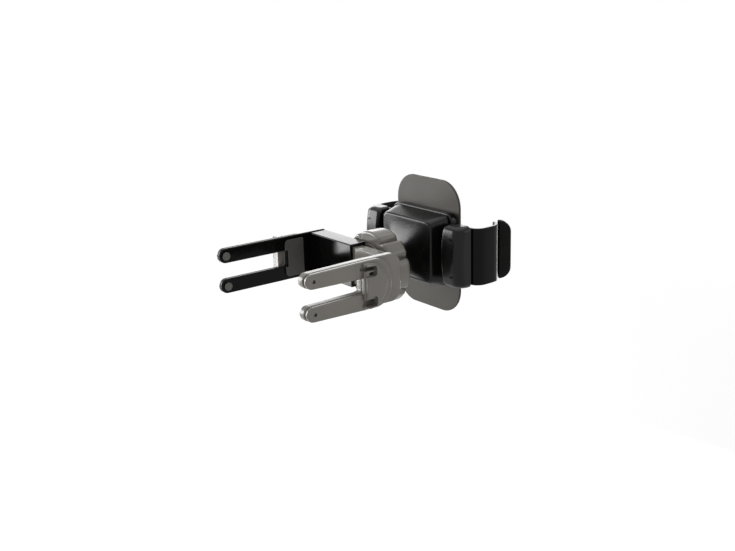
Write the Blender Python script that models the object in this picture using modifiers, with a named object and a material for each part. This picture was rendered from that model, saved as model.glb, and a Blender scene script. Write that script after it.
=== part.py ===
"""Air vent phone holder: two vent forks on a bridge, a lockable ball joint and a phone cradle.

Metres, +Z up. The forks point along -Y into the vent and the phone stands on the +Y side.
The origin is the middle of the fixed fork's slot root, where the vent blade's edge stops.
"""
import math

import bmesh
import bpy
from mathutils import Matrix, Vector

MM = 0.001
FIT = 0.3 * MM          # gap between pieces that touch
EDGE = 0.4 * MM         # small moulded edge rounding

# Forks
SLOT_PITCH = 13.9 * MM        # between the middles of a fork's two prongs
INNER_PLATE = 3.6 * MM        # thickness of a fork's inner plate, across X
COVER_PLATE = 1.9 * MM        # thickness of a fork's cover plate
FIXED_PRONG = 29.3 * MM       # slot root to tip
FIXED_PRONG_TIP = 6.4 * MM    # prong height at its tip
FIXED_PRONG_ROOT = 7.4 * MM   # prong height at the slot root
JAW_PRONG = 34.6 * MM
JAW_PRONG_HEIGHT = 6.7 * MM
JAW_PLATE = 1.5 * MM          # the sliding fork's two plates are thinner
JAW_COVER = 1.0 * MM
SLOT_CORNER = 1.4 * MM
FORK_SPAN = 54.3 * MM         # between the two forks' inner faces, as photographed
STUD_INSET = 4.2 * MM         # prong tip to stud
JAW_STUD_INSET = 3.1 * MM
STUD_HEAD_RADIUS = 1.85 * MM
STUD_HEAD_PROUD = 0.9 * MM
STUD_STEM_RADIUS = 0.5 * MM
STUD_HOLE_RADIUS = 0.8 * MM
PAD_THICKNESS = 0.6 * MM

# Thumb cap at the root of each fork cover
CAP_RADIUS = 9.9 * MM
CAP_FRONT = -1.0 * MM         # the cap's straight front edge
COVER_REACH = 14.4 * MM       # how far the cover plate runs behind the slot root
CAP_STEPS = ((1.5 * MM, 11.4 * MM), (1.5 * MM, 9.3 * MM))  # each step's height and its reach in Y
JAW_CAP_STEPS = ((2.6 * MM, 11.4 * MM), (2.4 * MM, 9.3 * MM))
CAP_FRONT_STEP = 0.5 * MM
CAP_RADIUS_STEP = 0.4 * MM
WINDOW_FLOOR = 0.7 * MM       # what the windows leave of the cover plate
WINDOW_LENGTH = 7.0 * MM
WINDOW_HEIGHT = 4.6 * MM

# Bridge bar and the sleeve that slides on it
BAR_FRONT = 15.0 * MM         # slot root to the bar's front face
BAR_DEPTH = 6.0 * MM
BAR_HALF_HEIGHT = 8.6 * MM
BAR_LENGTH = 52.0 * MM        # fixed fork's inner face to the bar's free end
SLEEVE_WALL = 1.0 * MM
SLEEVE_LENGTH = 31.8 * MM     # sliding fork's inner face to the sleeve's open end
BRAKE_LENGTH = 5.0 * MM       # rubber block in the bar that drags on the sleeve
BRAKE_HEIGHT = 7.0 * MM
BRAKE_DEPTH = 1.4 * MM
BRAKE_AT = 18.5 * MM          # from the sliding fork's inner face, as photographed
STEM_WIDTH = 16.0 * MM
STEM_LOW = -6.0 * MM
STEM_HIGH = 4.0 * MM

# Ball joint; Y is measured from the ball's centre
BALL_X = -23.0 * MM
BALL_Z = -2.4 * MM
BALL_RADIUS = 7.5 * MM
BALL_HALF_LENGTH = 6.2 * MM
BALL_TO_BAR = 15.0 * MM       # bar's front face to the ball's centre
LINER_WALL = 1.2 * MM
LINER_FRONT = -30.0           # degrees from the ball's equator
LINER_BACK = 19.5
CUP_WALL = 2.2 * MM
CUP_FRONT = -7.4 * MM
CUP_BACK = 1.2 * MM
CUP_SLITS = 4
CUP_SLIT_WIDTH = 1.2 * MM
SCREW_CLEARANCE = 7.9 * MM    # radius that the spindle screw's head swings inside
NECK_RADIUS = 5.2 * MM
SPINDLE_RADIUS = 2.3 * MM
SPINDLE_SEAT = 6.2 * MM       # how deep the spindle stands in the neck
SPINDLE_SCREW_HEAD = 3.1 * MM
NUT_RADIUS = 17.0 * MM
NUT_FRONT = -7.0 * MM
NUT_BACK = 3.5 * MM
NUT_GROOVE_RADIUS = 1.3 * MM
NUT_GROOVES = (32, 66)        # degrees from the top, repeated every quarter turn

# Phone and cradle; Y is measured from the ball's centre
PHONE_FACE = 29.0 * MM        # the plane that the phone's back lies on
CRADLE_Z = 5.9 * MM           # cradle's middle above the ball
PLATE_WIDTH = 43.8 * MM
PLATE_HEIGHT = 62.0 * MM
PLATE_CORNER = 12.0 * MM
PLATE_THICKNESS = 1.2 * MM
PHONE_PAD = 0.5 * MM
PAD_PROUD = 0.3 * MM
PAD_MARGIN = 3.0 * MM
SHELL_WIDTH = 42.0 * MM
SHELL_HEIGHT = 34.2 * MM
SHELL_DEPTH = 3.4 * MM
SHELL_WALL = 1.6 * MM
HOUSING_WIDTH = 38.0 * MM
HOUSING_HEIGHT = 33.2 * MM
HOUSING_DEPTH = 7.0 * MM      # shell to the flare's rim
HOUSING_DRAFT = 1.9 * MM      # how much each side leans in over that depth
HOUSING_RISE = 2.3 * MM       # the same for the top and the bottom
FLARE_DEPTH = 9.0 * MM
FLARE_STEPS = 7
FLARE_POINTS = 40
HOUSING_SIDE_WALL = 2.6 * MM
HOUSING_TOP_WALL = 3.1 * MM
SCREW_INSET_X = 4.4 * MM      # from the housing's side to the screw
SCREW_INSET_Z = 3.6 * MM
BOSS_SIZE = 2.6 * MM          # the cavity's corners stay solid for the screws
SCREW_RADIUS = 0.9 * MM
SCREW_HEAD_RADIUS = 1.9 * MM
SCREW_LENGTH = 6.4 * MM

# Rack and pinion between the two arms
RACK_MODULE = 1.0 * MM
PRESSURE_ANGLE = math.radians(25)
PINION_TEETH = 10
ADDENDUM = 0.85 * MM
DEDENDUM = 1.05 * MM
BACKLASH = 0.3 * MM
PINION_THICKNESS = 2.8 * MM
POST_RADIUS = 1.3 * MM
RAIL_DEPTH = 3.4 * MM
RAIL_TOP = 9.7 * MM           # rail's far edge from the cradle's middle
RAIL_STEP = 4.6 * MM          # rail's near edge beside the teeth
RAIL_REACH = 12.0 * MM        # how far a rail runs past the cradle's middle
RACK_TEETH = range(-3, 3)
SPRING_Z = 11.9 * MM
SPRING_RADIUS = 0.95 * MM
SPRING_WIRE = 0.22 * MM
SPRING_TURNS = 9
SPRING_PIN = 0.45 * MM
SPRING_FIXED_X = -10.6 * MM
SPRING_MOVING_X = 1.6 * MM

# Arms, in the cradle's XY plane; paths are in millimetres
ARM_HEIGHT = 26.0 * MM
ARM_WALL = 1.6 * MM
ARM_PATH = ((28.5, 25.0), (32.3, 25.1), (34.6, 26.1), (35.8, 27.9), (36.05, 30.0), (36.0, 33.0),
            (35.75, 35.6), (34.9, 37.8), (33.2, 39.4), (30.2, 41.0))
ARM_FLANGE = ((24.6, 33.0), (23.8, 26.1))
ARM_ROOT = ((26.0, 32.3), (19.5, 24.4))
COVER_X = (22.5 * MM, 34.0 * MM)
COVER_Y = (15.0 * MM, 23.4 * MM)
COVER_HALF_HEIGHT = 14.1 * MM
COVER_WALL = 1.2 * MM
COVER_CORNER = 2.5 * MM
COVER_CROWN = 2.0 * MM        # rounding of the cover's outer face
COVER_PEG = 1.1 * MM
COVER_PEG_AT = (29.3 * MM, 8.0 * MM)
GRIP_PAD = 0.5 * MM
GRIP_PAD_HEIGHT = 22.0 * MM
LIP_START = Vector((30.6, 40.7))
LIP_END = Vector((33.7, 46.4))
LIP_WALL = 1.2 * MM
LIP_INSET = 0.6 * MM          # the lip is this much lower than the strip at each end
LIP_CORNER = 4.5 * MM
BOOT_WALL = 0.7 * MM
BOOT_START = 1.9 * MM

MATERIALS = {
    "gloss_black": ((0.012, 0.012, 0.012), 0.16, 0.0),
    "smoke_grey": ((0.105, 0.100, 0.092), 0.32, 0.0),
    "satin_black": ((0.016, 0.016, 0.016), 0.30, 0.0),
    "matte_rubber": ((0.014, 0.014, 0.013), 0.75, 0.0),
    "dark_plate": ((0.030, 0.028, 0.025), 0.20, 0.0),
    "white_nylon": ((0.70, 0.69, 0.65), 0.45, 0.0),
    "steel": ((0.55, 0.55, 0.56), 0.28, 1.0),
}


def clear_scene():
    for item in list(bpy.data.objects):
        bpy.data.objects.remove(item, do_unlink=True)


def make_collection(name):
    made = bpy.data.collections.new(name)
    bpy.context.scene.collection.children.link(made)
    return made


def material(name):
    found = bpy.data.materials.get(name)
    if found:
        return found
    color, roughness, metallic = MATERIALS[name]
    made = bpy.data.materials.new(name)
    made.use_nodes = True
    shader = made.node_tree.nodes["Principled BSDF"]
    shader.inputs["Base Color"].default_value = (*color, 1.0)
    shader.inputs["Roughness"].default_value = roughness
    shader.inputs["Metallic"].default_value = metallic
    return made


clear_scene()
HOLDER = make_collection("air_vent_phone_holder")
CUTTERS = make_collection("cutters")

# Frames of the bodies at rest
WORLD = Matrix.Identity(4)
BALL = Vector((BALL_X, BAR_FRONT + BALL_TO_BAR, BALL_Z))
JOINT = Matrix.Translation(BALL)
CRADLE = JOINT @ Matrix.Translation((0, 0, CRADLE_Z))
RIGHT = CRADLE
LEFT = CRADLE @ Matrix.Rotation(math.pi, 4, "Y")

# Places that several pieces share
FIXED_INNER = -INNER_PLATE / 2                      # fixed fork's inner face
JAW_INNER = FIXED_INNER - FORK_SPAN                 # sliding fork's inner face
BAR_BACK = BAR_FRONT + BAR_DEPTH
SLEEVE_BACK = BAR_BACK + FIT + SLEEVE_WALL
SLEEVE_HALF = BAR_HALF_HEIGHT + FIT + SLEEVE_WALL
CUP_BORE = BALL_RADIUS + LINER_WALL + 2 * FIT       # radius of the cup's round seat
CUP_RADIUS = CUP_BORE + CUP_WALL
NUT_BORE = CUP_RADIUS + FIT
PLATE_FRONT = PHONE_FACE - PAD_PROUD
PLATE_BACK = PLATE_FRONT - PLATE_THICKNESS
SHELL_FRONT = PLATE_BACK - FIT
SHELL_BACK = SHELL_FRONT - SHELL_DEPTH
HOUSING_FRONT = SHELL_BACK - FIT
HOUSING_RIM = HOUSING_FRONT - HOUSING_DEPTH
RAIL_FRONT = HOUSING_FRONT - FIT
RAIL_BACK = RAIL_FRONT - RAIL_DEPTH
FLOOR = RAIL_BACK - FIT
PITCH_RADIUS = RACK_MODULE * PINION_TEETH / 2
CAVITY_HALF_WIDTH = HOUSING_WIDTH / 2 - HOUSING_SIDE_WALL
CAVITY_HALF_HEIGHT = HOUSING_HEIGHT / 2 - HOUSING_TOP_WALL
SCREW_X = HOUSING_WIDTH / 2 - SCREW_INSET_X
SCREW_Z = HOUSING_HEIGHT / 2 - SCREW_INSET_Z
BOSS_X = SCREW_X - BOSS_SIZE
BOSS_Z = SCREW_Z - BOSS_SIZE
SHOULDER = BALL_HALF_LENGTH + FIT                   # where the neck meets the ball's front flat


def place(item, frame=WORLD, finish=None, collection=HOLDER):
    """Move an object into a collection and into the frame of its body, and give it a material."""
    for old in list(item.users_collection):
        old.objects.unlink(item)
    collection.objects.link(item)
    item.matrix_basis = frame @ item.matrix_basis
    if finish:
        item.data.materials.clear()
        item.data.materials.append(material(finish))
    return item


def mesh_object(name, bm):
    mesh = bpy.data.meshes.new(name)
    bm.normal_update()
    bm.to_mesh(mesh)
    bm.free()
    item = bpy.data.objects.new(name, mesh)
    bpy.context.scene.collection.objects.link(item)
    return item


def box(name, low, high):
    """A box between two corners, made from a primitive cube."""
    bm = bmesh.new()
    bmesh.ops.create_cube(bm, size=1.0)
    size = Vector(high) - Vector(low)
    middle = (Vector(high) + Vector(low)) / 2
    bmesh.ops.transform(bm, matrix=Matrix.Translation(middle) @ Matrix.Diagonal((*size, 1.0)), verts=bm.verts)
    return mesh_object(name, bm)


def cylinder(name, radius, start, end, axis="Y", at=(0.0, 0.0), segments=24):
    """A cylinder along X, Y or Z, from start to end, centred at the two other coordinates."""
    bm = bmesh.new()
    bmesh.ops.create_cone(bm, cap_ends=True, segments=segments, radius1=radius, radius2=radius, depth=end - start)
    middle = (start + end) / 2
    turn = {"X": Matrix.Rotation(math.pi / 2, 4, "Y"), "Y": Matrix.Rotation(-math.pi / 2, 4, "X"),
            "Z": Matrix.Identity(4)}[axis]
    spot = {"X": (middle, *at), "Y": (at[0], middle, at[1]), "Z": (*at, middle)}[axis]
    bmesh.ops.transform(bm, matrix=Matrix.Translation(spot) @ turn, verts=bm.verts)
    return mesh_object(name, bm)


def fillet(corners, steps=4):
    """Round a closed outline: corners are (x, y, radius), and the points of the arcs come back."""
    points = []
    count = len(corners)
    for index, (x, y, radius) in enumerate(corners):
        here = Vector((x, y))
        if radius <= 0:
            points.append(here)
            continue
        before = (Vector(corners[index - 1][:2]) - here).normalized()
        after = (Vector(corners[(index + 1) % count][:2]) - here).normalized()
        half = before.angle(after) / 2
        centre = here + (before + after).normalized() * (radius / math.sin(half))
        start = here + before * (radius / math.tan(half)) - centre
        end = here + after * (radius / math.tan(half)) - centre
        sweep = math.atan2(start.x * end.y - start.y * end.x, start.dot(end))
        for step in range(steps + 1):
            c, s = math.cos(sweep * step / steps), math.sin(sweep * step / steps)
            points.append(centre + Vector((start.x * c - start.y * s, start.x * s + start.y * c)))
    return points


def arc(centre, radius, start, end, steps):
    """Points on an arc, angles in degrees."""
    angles = [math.radians(start + (end - start) * step / steps) for step in range(steps + 1)]
    return [Vector((centre[0] + radius * math.cos(a), centre[1] + radius * math.sin(a))) for a in angles]


def rounded_rectangle(width, height, corner, steps=5, middle=(0.0, 0.0)):
    x, y = middle
    return fillet([(x + sx * width / 2, y + sy * height / 2, corner)
                   for sx, sy in ((-1, -1), (1, -1), (1, 1), (-1, 1))], steps)


# An outline's x, y and thickness become Y, Z and X, or X, Z and Y, or X, Y and Z
TO_YZ = Matrix(((0, 0, 1, 0), (1, 0, 0, 0), (0, 1, 0, 0), (0, 0, 0, 1)))
TO_XZ = Matrix(((1, 0, 0, 0), (0, 0, 1, 0), (0, 1, 0, 0), (0, 0, 0, 1)))
TO_XY = Matrix.Identity(4)


def plate(name, outline, start, end, turn):
    """A flat piece: one face on a closed outline, extruded from start to end along its thickness axis."""
    bm = bmesh.new()
    bm.faces.new([bm.verts.new((point[0], point[1], start)) for point in outline])
    made = bmesh.ops.extrude_face_region(bm, geom=bm.faces[:])
    top = [item for item in made["geom"] if isinstance(item, bmesh.types.BMVert)]
    bmesh.ops.translate(bm, verts=top, vec=(0, 0, end - start))
    bmesh.ops.transform(bm, matrix=turn, verts=bm.verts)
    bmesh.ops.remove_doubles(bm, verts=bm.verts, dist=0.002 * MM)
    bmesh.ops.recalc_face_normals(bm, faces=bm.faces)
    return mesh_object(name, bm)


def to_mesh(item):
    """Replace a curve object with its welded mesh, its place applied."""
    bpy.context.view_layer.update()
    graph = bpy.context.evaluated_depsgraph_get()
    mesh = bpy.data.meshes.new_from_object(item.evaluated_get(graph))
    mesh.transform(item.matrix_world)
    bm = bmesh.new()
    bm.from_mesh(mesh)
    bmesh.ops.remove_doubles(bm, verts=bm.verts, dist=0.002 * MM)
    bmesh.ops.recalc_face_normals(bm, faces=bm.faces)
    bm.to_mesh(mesh)
    bm.free()
    name = item.name
    bpy.data.objects.remove(item, do_unlink=True)
    made = bpy.data.objects.new(name, mesh)
    bpy.context.scene.collection.objects.link(made)
    return made


def wire(name, points, radius, resolution=1):
    """A round wire along points, with filled ends."""
    curve = bpy.data.curves.new(name, "CURVE")
    curve.dimensions = "3D"
    curve.bevel_depth = radius
    curve.bevel_resolution = resolution
    curve.use_fill_caps = True
    spline = curve.splines.new("POLY")
    spline.points.add(len(points) - 1)
    for spot, point in zip(spline.points, points):
        spot.co = (*point, 1.0)
    item = bpy.data.objects.new(name, curve)
    bpy.context.scene.collection.objects.link(item)
    return to_mesh(item)


def turned(name, profile, segments=32, ring=True):
    """A turned piece about the Y axis: profile holds (radius, y), a closed ring or open between two axis points."""
    bm = bmesh.new()
    spots = [bm.verts.new((radius, y, 0.0)) for radius, y in profile]
    ends = spots[1:] + spots[:1] if ring else spots[1:]
    edges = [bm.edges.new(pair) for pair in zip(spots, ends)]
    bmesh.ops.spin(bm, geom=spots + edges, cent=(0, 0, 0), axis=(0, 1, 0), angle=2 * math.pi, steps=segments,
                   use_merge=True)
    bmesh.ops.remove_doubles(bm, verts=bm.verts, dist=0.002 * MM)
    bmesh.ops.recalc_face_normals(bm, faces=bm.faces)
    return mesh_object(name, bm)


def loft(name, loops):
    """A closed solid skinned through loops of equal count."""
    bm = bmesh.new()
    rings = [[bm.verts.new(point) for point in loop] for loop in loops]
    edges = [[bm.edges.new((ring[i], ring[(i + 1) % len(ring)])) for i in range(len(ring))] for ring in rings]
    for first, second in zip(edges, edges[1:]):
        bmesh.ops.bridge_loops(bm, edges=first + second)
    bm.faces.new(rings[0])
    bm.faces.new(list(reversed(rings[-1])))
    bmesh.ops.recalc_face_normals(bm, faces=bm.faces)
    return mesh_object(name, bm)


def bevel(item, width=EDGE, segments=2, angle=40):
    rounding = item.modifiers.new("edges", "BEVEL")
    rounding.width = width
    rounding.segments = segments
    rounding.limit_method = "ANGLE"
    rounding.angle_limit = math.radians(angle)
    rounding.use_clamp_overlap = True
    return item


def combine(item, other, operation, frame):
    place(other, frame, collection=CUTTERS)
    other.hide_render = True
    other.display_type = "WIRE"
    change = item.modifiers.new(operation.lower(), "BOOLEAN")
    change.operation = operation
    change.solver = "EXACT"
    change.object = other
    return item


def cut(item, tool, frame=WORLD):
    return combine(item, tool, "DIFFERENCE", frame)


def join(item, other, frame=WORLD):
    return combine(item, other, "UNION", frame)


def smooth(item, angle=35):
    item.data.shade_smooth()
    item.data.set_sharp_from_angle(angle=math.radians(angle))
    return item


def fork_outline(length, tip, root, back, half_height, corner):
    """Side view of a fork plate in (Y, Z): two prongs with round tips and the root behind the slot."""
    middle = SLOT_PITCH / 2
    upper_tip = arc((-length + tip / 2, middle), tip / 2, 90, 270, 8)
    lower_tip = arc((-length + tip / 2, -middle), tip / 2, 90, 270, 8)
    slot = middle - root / 2
    slot_end = fillet([(-length, slot, 0), (0, slot, SLOT_CORNER), (0, -slot, SLOT_CORNER),
                       (-length, -slot, 0)], 3)[1:-1]
    rear = fillet([(0, -half_height, 0), (back, -half_height, corner), (back, half_height, corner),
                   (0, half_height, 0)], 5)
    return upper_tip + slot_end + lower_tip + rear


def stud_spots(length, inset):
    return [(-length + inset, SLOT_PITCH / 2), (-length + inset, -SLOT_PITCH / 2)]


def cap_outline(front, reach, radius):
    """The thumb cap's D: a straight front edge and a round rear."""
    corners = fillet([(MM, radius, 0), (front, radius, MM), (front, -radius, MM), (MM, -radius, 0)], 3)
    rear = [Vector((MM + (reach - MM) * math.cos(a), radius * math.sin(a)))
            for a in (math.pi * (step / 12 - 0.5) for step in range(1, 12))]
    return corners + rear


def fork_cover(name, face, side, thick, steps, length, tip, root, studs):
    """A fork's outer plate with its stepped thumb cap, windows and stud holes; side is its outward X."""
    def slab(label, outline, near, far):
        low, high = sorted((face + side * near, face + side * far))
        return plate(label, outline, low, high, TO_YZ)

    outline = fork_outline(length, tip, root, COVER_REACH, SLOT_PITCH / 2 + root / 2, 8.5 * MM)
    cover = bevel(slab(name, outline, 0, thick), min(EDGE, thick / 3))
    base, height, radius = thick / 2, thick, CAP_RADIUS
    for index, (rise, reach) in enumerate(steps):
        step = slab(f"{name}_step{index}", cap_outline(CAP_FRONT + index * CAP_FRONT_STEP, reach, radius), base,
                    height + rise)
        join(cover, bevel(step, 0.3 * MM))
        base = height + rise / 2
        height += rise
        radius -= CAP_RADIUS_STEP
    for number, sign in enumerate((1, -1)):
        window = rounded_rectangle(WINDOW_LENGTH, WINDOW_HEIGHT, 0.8 * MM, 2,
                                   (CAP_FRONT - 1.5 * MM + WINDOW_LENGTH / 2, sign * (SLOT_PITCH / 2 - 0.4 * MM)))
        cut(cover, slab(f"{name}_window{number}", window, WINDOW_FLOOR, height + MM))
    for number, spot in enumerate(studs):
        low, high = sorted((face - side * MM, face + side * (thick + MM)))
        cut(cover, cylinder(f"{name}_hole{number}", STUD_HOLE_RADIUS, low, high, "X", spot, 12))
    return smooth(place(cover, WORLD, "smoke_grey"))


def stud(name, face, side, depth, spot):
    """A grip stud: its head stands on the fork's inner face and its stem runs out through both plates."""
    low, high = sorted((face - side * STUD_HEAD_PROUD, face - side * FIT))
    head = bevel(cylinder(name, STUD_HEAD_RADIUS, low, high, "X", spot, 20), 0.15 * MM, 1, 50)
    low, high = sorted((face - side * (STUD_HEAD_PROUD + FIT) / 2,
                        face + side * (depth - 0.6 * MM)))
    join(head, cylinder(f"{name}_stem", STUD_STEM_RADIUS, low, high, "X", spot, 12))
    return smooth(place(head, WORLD, "matte_rubber"))


def fork_pad(name, face, side, root):
    """The thin pad on a fork's inner face, round the slot root."""
    half = CAP_RADIUS - 1.2 * MM
    slot = (SLOT_PITCH - root) / 2 + 0.3 * MM
    outline = fillet([(CAP_FRONT, -half, 2 * MM), (9.1 * MM, -half, 0.6 * MM), (9.1 * MM, half, 0.6 * MM),
                      (CAP_FRONT, half, 2 * MM), (CAP_FRONT, slot, 0.3 * MM), (0.5 * MM, slot, 0.3 * MM),
                      (0.5 * MM, -slot, 0.3 * MM), (CAP_FRONT, -slot, 0.3 * MM)], 3)
    low, high = sorted((face - side * (FIT + PAD_THICKNESS), face - side * FIT))
    return smooth(place(bevel(plate(name, outline, low, high, TO_YZ), 0.2 * MM, 1), WORLD, "satin_black"))


def clip_body():
    """Bridge bar, the fixed fork's inner plate, the stem and the slotted ball cup in one moulding."""
    half = SLOT_PITCH / 2 + FIXED_PRONG_ROOT / 2
    outline = fork_outline(FIXED_PRONG, FIXED_PRONG_TIP, FIXED_PRONG_ROOT, BAR_BACK, half, 5.0 * MM)
    body = bevel(plate("clip_body", outline, FIXED_INNER, -FIXED_INNER, TO_YZ))
    bar = box("bar", (FIXED_INNER - BAR_LENGTH, BAR_FRONT, -BAR_HALF_HEIGHT), (0, BAR_BACK, BAR_HALF_HEIGHT))
    join(body, bevel(bar))
    stem = box("stem", (BALL_X - STEM_WIDTH / 2, BAR_BACK - MM, STEM_LOW),
               (BALL_X + STEM_WIDTH / 2, BALL.y - 6 * MM, STEM_HIGH))
    join(body, bevel(stem, 0.8 * MM))
    cup = cylinder("cup", CUP_RADIUS, CUP_FRONT, CUP_BACK, segments=40)
    join(body, bevel(cup, 0.4 * MM), JOINT)
    step_y = CUP_FRONT + 0.7 * MM
    profile = [(0, -SCREW_CLEARANCE)]
    deep = math.acos(-step_y / SCREW_CLEARANCE)
    profile += [(SCREW_CLEARANCE * math.sin(deep * k / 3), -SCREW_CLEARANCE * math.cos(deep * k / 3))
                for k in range(1, 4)]
    low, high = math.asin(step_y / CUP_BORE), math.asin((CUP_BACK + MM) / CUP_BORE)
    profile += [(CUP_BORE * math.cos(a), CUP_BORE * math.sin(a))
                for a in (low + (high - low) * k / 5 for k in range(6))]
    profile.append((0, CUP_BACK + MM))
    cut(body, turned("seat", profile, 40, ring=False), JOINT)
    for number in range(CUP_SLITS // 2):
        slit = box(f"slit{number}", (-CUP_RADIUS - MM, -4.5 * MM, -CUP_SLIT_WIDTH / 2),
                   (CUP_RADIUS + MM, CUP_BACK + MM, CUP_SLIT_WIDTH / 2))
        cut(body, slit, JOINT @ Matrix.Rotation(math.radians(45 + 90 * number), 4, "Y"))
    brake_x = JAW_INNER + BRAKE_AT
    pocket = box("brake_pocket", (brake_x - BRAKE_LENGTH / 2 - FIT, BAR_FRONT - MM, -BRAKE_HEIGHT / 2 - FIT),
                 (brake_x + BRAKE_LENGTH / 2 + FIT, BAR_FRONT + BRAKE_DEPTH + FIT, BRAKE_HEIGHT / 2 + FIT))
    cut(body, pocket)
    brake = box("brake_pad", (brake_x - BRAKE_LENGTH / 2, BAR_FRONT - 0.1 * MM, -BRAKE_HEIGHT / 2),
                (brake_x + BRAKE_LENGTH / 2, BAR_FRONT + BRAKE_DEPTH, BRAKE_HEIGHT / 2))
    place(bevel(brake, 0.3 * MM, 1), WORLD, "matte_rubber")
    for number, spot in enumerate(stud_spots(FIXED_PRONG, STUD_INSET)):
        cut(body, cylinder(f"body_hole{number}", STUD_HOLE_RADIUS, FIXED_INNER - MM, -FIXED_INNER + MM, "X", spot, 12))
    return smooth(place(body, WORLD, "smoke_grey"))


def sliding_jaw():
    """The sleeve round the bar, open at the back for the stem, with the sliding fork's inner plate."""
    outer = JAW_INNER - JAW_PLATE
    half = SLOT_PITCH / 2 + JAW_PRONG_HEIGHT / 2
    outline = fork_outline(JAW_PRONG, JAW_PRONG_HEIGHT, JAW_PRONG_HEIGHT, SLEEVE_BACK + 0.1 * MM, half,
                           1.0 * MM)
    jaw = bevel(plate("sliding_jaw", outline, outer, JAW_INNER, TO_YZ))
    front = BAR_FRONT - FIT - SLEEVE_WALL
    open_end = JAW_INNER + SLEEVE_LENGTH
    sleeve = box("sleeve", (outer + JAW_PLATE / 2, front, -SLEEVE_HALF), (open_end, SLEEVE_BACK, SLEEVE_HALF))
    join(jaw, bevel(sleeve))
    bore = box("bore", (outer - MM, BAR_FRONT - FIT, -BAR_HALF_HEIGHT - FIT),
               (open_end + MM, BAR_BACK + FIT, BAR_HALF_HEIGHT + FIT))
    cut(jaw, bore)
    back_slot = box("back_slot", (JAW_INNER + 4 * MM, BAR_BACK, STEM_LOW - 0.4 * MM),
                    (open_end + MM, SLEEVE_BACK + MM, STEM_HIGH + 0.4 * MM))
    cut(jaw, back_slot)
    for number, spot in enumerate(stud_spots(JAW_PRONG, JAW_STUD_INSET)):
        cut(jaw, cylinder(f"jaw_hole{number}", STUD_HOLE_RADIUS, outer - MM, JAW_INNER + MM, "X", spot, 12))
    return smooth(place(jaw, WORLD, "gloss_black"))


def clamp_nut():
    """Ring nut with broad facets between grooves; its rounded lip closes over the liner."""
    inner = CUP_BACK + FIT + 0.2 * MM
    lip = [(CUP_BORE * math.cos(a), CUP_BORE * math.sin(a))
           for a in (math.asin(y / CUP_BORE) for y in (inner, 2.6 * MM, NUT_BACK))]
    profile = [(NUT_BORE, NUT_FRONT), (NUT_RADIUS - MM, NUT_FRONT), (NUT_RADIUS, NUT_FRONT + MM),
               (NUT_RADIUS, NUT_BACK - 1.5 * MM), (NUT_RADIUS - 1.5 * MM, NUT_BACK), *reversed(lip),
               (NUT_BORE, inner)]
    nut = turned("clamp_nut", profile, 48)
    for quarter in range(4):
        for number, degrees in enumerate(NUT_GROOVES):
            angle = math.radians(degrees + 90 * quarter)
            groove = cylinder(f"groove{quarter}{number}", NUT_GROOVE_RADIUS, NUT_FRONT - MM, NUT_BACK + MM,
                              at=(NUT_RADIUS * math.sin(angle), NUT_RADIUS * math.cos(angle)), segments=12)
            cut(nut, groove, JOINT)
    return smooth(place(nut, JOINT, "smoke_grey"))


def friction_liner():
    """Slotted ring between the ball and its cup."""
    inner = BALL_RADIUS + FIT
    outer = inner + LINER_WALL
    angles = [math.radians(LINER_FRONT + (LINER_BACK - LINER_FRONT) * k / 5) for k in range(6)]
    profile = [(outer * math.cos(a), outer * math.sin(a)) for a in reversed(angles)]
    profile += [(inner * math.cos(a), inner * math.sin(a)) for a in angles]
    liner = turned("friction_liner", profile, 32)
    cut(liner, box("liner_split", (0, -BALL_RADIUS, -0.5 * MM), (CUP_RADIUS, BALL_RADIUS, 0.5 * MM)), JOINT)
    return smooth(place(liner, JOINT, "white_nylon"))


def ball():
    """Ball with both poles cut flat and a bore for the neck's spindle."""
    bore = SPINDLE_RADIUS + FIT
    limit = math.degrees(math.asin(BALL_HALF_LENGTH / BALL_RADIUS))
    outside = [(p.x, p.y) for p in arc((0, 0), BALL_RADIUS, limit, -limit, 10)]
    profile = [(bore, BALL_HALF_LENGTH), *outside, (bore, -BALL_HALF_LENGTH)]
    return smooth(place(turned("ball", profile, 32), JOINT, "gloss_black"))


def section_loop(y, half_x, half_z, z, roundness):
    """A loop that goes from a rounded rectangle to a circle as roundness goes from 0 to 1."""
    power = 2 + 6 * (1 - roundness) ** 2
    loop = []
    for index in range(FLARE_POINTS):
        angle = 2 * math.pi * (index + 0.5) / FLARE_POINTS
        c, s = math.cos(angle), math.sin(angle)
        reach = (abs(c) ** power + abs(s) ** power) ** (-1 / power)
        loop.append((half_x * reach * c, y, z + half_z * reach * s))
    return loop


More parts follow.
